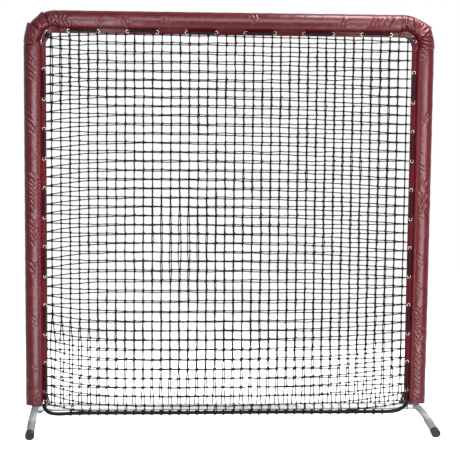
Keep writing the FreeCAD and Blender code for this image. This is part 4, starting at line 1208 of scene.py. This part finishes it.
for side, sign in SIDES.items():
    a, b = (Vector((x, 0, z)) for x, z in spots[f"{side}_corner"])
    turn, reach, thick = KNOTS[side]
    x, z = at_corner(sign, reach, math.radians(turn))
    middle = Vector((x, 0, z))
    points = [a - TIE_OUT, a - TIE_OUT * 0.2, a + TIE_OUT * 0.9, a + TIE_OUT * 1.2 + (middle - a) * 0.45]
    points += ball_knot(middle + TIE_OUT * 1.4, thick, sign)
    points += [b + TIE_OUT * 1.2 + (middle - b) * 0.45, b + TIE_OUT * 0.9, b - TIE_OUT * 0.2, b - TIE_OUT]
    points += [middle - TIE_OUT * 1.1, a - TIE_OUT * 1.02]
    knot = cord_piece(f"{side}_corner_knot", points, lace_finish, 0.0033, 10, 0.0022)
    settle(knot, "black_cord", f"{side}_corner_tie")

    x, head = sign * (SPAN - LACE_LINE), side_heights[0]
    points = [Vector((x, y, head - drop)) for y, drop in ((0.0125, 0.004), (0.002, 0), (-0.0135, 0.003))]
    for step in range(TURN_STEPS):
        share = step / TURN_STEPS
        turn, down = share * TURNS * 2 * math.pi, share * WOUND_LENGTH
        across, depth = x + sign * 0.0055 * math.cos(turn), -0.0165 + 0.0045 * math.sin(turn)
        points.append(Vector((across, depth, head - 0.014 - down)))
    points += [Vector((x + sign * over, -0.0175 + out, head - 0.046 - down)) for over, out, down in KNOT_TAIL]
    knot = cord_piece(f"{side}_foot_knot", points, lace_finish, 0.0031, 10, 0.0022)
    settle(knot, "black_cord", f"{side}_end_tie")

# %% [markdown]
# ## Border rope and its hitches
#
# A thick rope runs along under the front of the bottom rail and rises at its ends to the laces' knots. The net's last
# meshes are bound to it with turns of twine at each mesh, and the net to the rail at every other one, so the hitches
# are a tree of short loops along a line. Their sizes and angles vary a little by chance, from a fixed seed.

# %% Rope
ROPE_RADIUS = 0.0098
LEFT_END = [
    (-0.9700, 0.026), (-0.9685, 0.010), (-0.9640, -0.004), (-0.9545, -0.016), (-0.9330, -0.0262), (-0.9010, -0.0310),
    (-0.8640, -0.0300),
]
RIGHT_END = [
    (0.8640, -0.0275), (0.8940, -0.0255), (0.9180, -0.0185), (0.9360, -0.0085), (0.9490, 0.002), (0.9610, 0.014),
    (0.9660, 0.028),
]
middle = [(x, ROPE_DROP + 0.0007 * math.sin(7 * x)) for x in np.linspace(-0.80, 0.80, 17)]
points = []
for x, z in LEFT_END + middle + RIGHT_END:
    forward = 0.010 * min(1, max(0, abs(x) - 0.90) / 0.05)
    points.append((x, ROPE_DEPTH - forward, RAIL + z))
settle(cord_piece("bottom_border_rope", points, rope_finish, ROPE_RADIUS, 12, 0.006), "black_cord", "border_rope")

# %% Hitches
FIRST_HITCH, ROPE_TURNS, RAIL_SHIFT = -0.9265, (-0.0030, 0.0002, 0.0032), 0.006
board, given = new_tree("hitches", {"Across": 0.0105, "Cord": 0.0017, "Seed": 4})
loop = board.sweep(board.ring(14, given["Across"]), board.ring(5, given["Cord"]))
stood = board.add("Transform", {"Geometry": loop, "Rotation": (0, math.radians(90), 0)})
points = board.add("MeshToPoints", {"Mesh": given["Geometry"]})
plugs = {"Seed": given["Seed"], "Min": (0, -0.25, -0.35), "Max": (0, 0.25, 0.35)}
turned = board.add("RandomValue", plugs, data_type="FLOAT_VECTOR")
size = board.add("RandomValue", {"Seed": given["Seed"], 2: 0.96, 3: 1.2}, data_type="FLOAT")[1]
set_out = board.add("InstanceOnPoints", {"Points": points, "Instance": stood, "Rotation": turned, "Scale": size})
HITCH_TREE = finish_tree(board, given, set_out)

hitches = [FIRST_HITCH + MESH * count for count in range(2, 38)]
holes = point_mesh("rope_hitches", [(x + shift, ROPE_DEPTH, RAIL + ROPE_DROP) for x in hitches for shift in ROPE_TURNS])
settle(grow("rope_hitches", HITCH_TREE, twine_finish, holes, Across=0.0110, Cord=0.0021), "black_cord")
holes = point_mesh("rail_hitches", [(x + RAIL_SHIFT, 0.0, RAIL) for x in hitches[::2]])
loops = grow("rail_hitches", HITCH_TREE, twine_finish, holes, Across=TUBE + 0.0018)
settle(loops, "black_cord", "rail_lashings")

# %% [markdown]
# ## The dressed model's box
#
# The box round everything that renders, without the floor, is worked out. The dressed model may
# stand only a little proud of the CAD model.

# %% Work out the box
low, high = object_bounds()

# %% Finish
bpy.context.scene.view_settings.view_transform = "Standard"
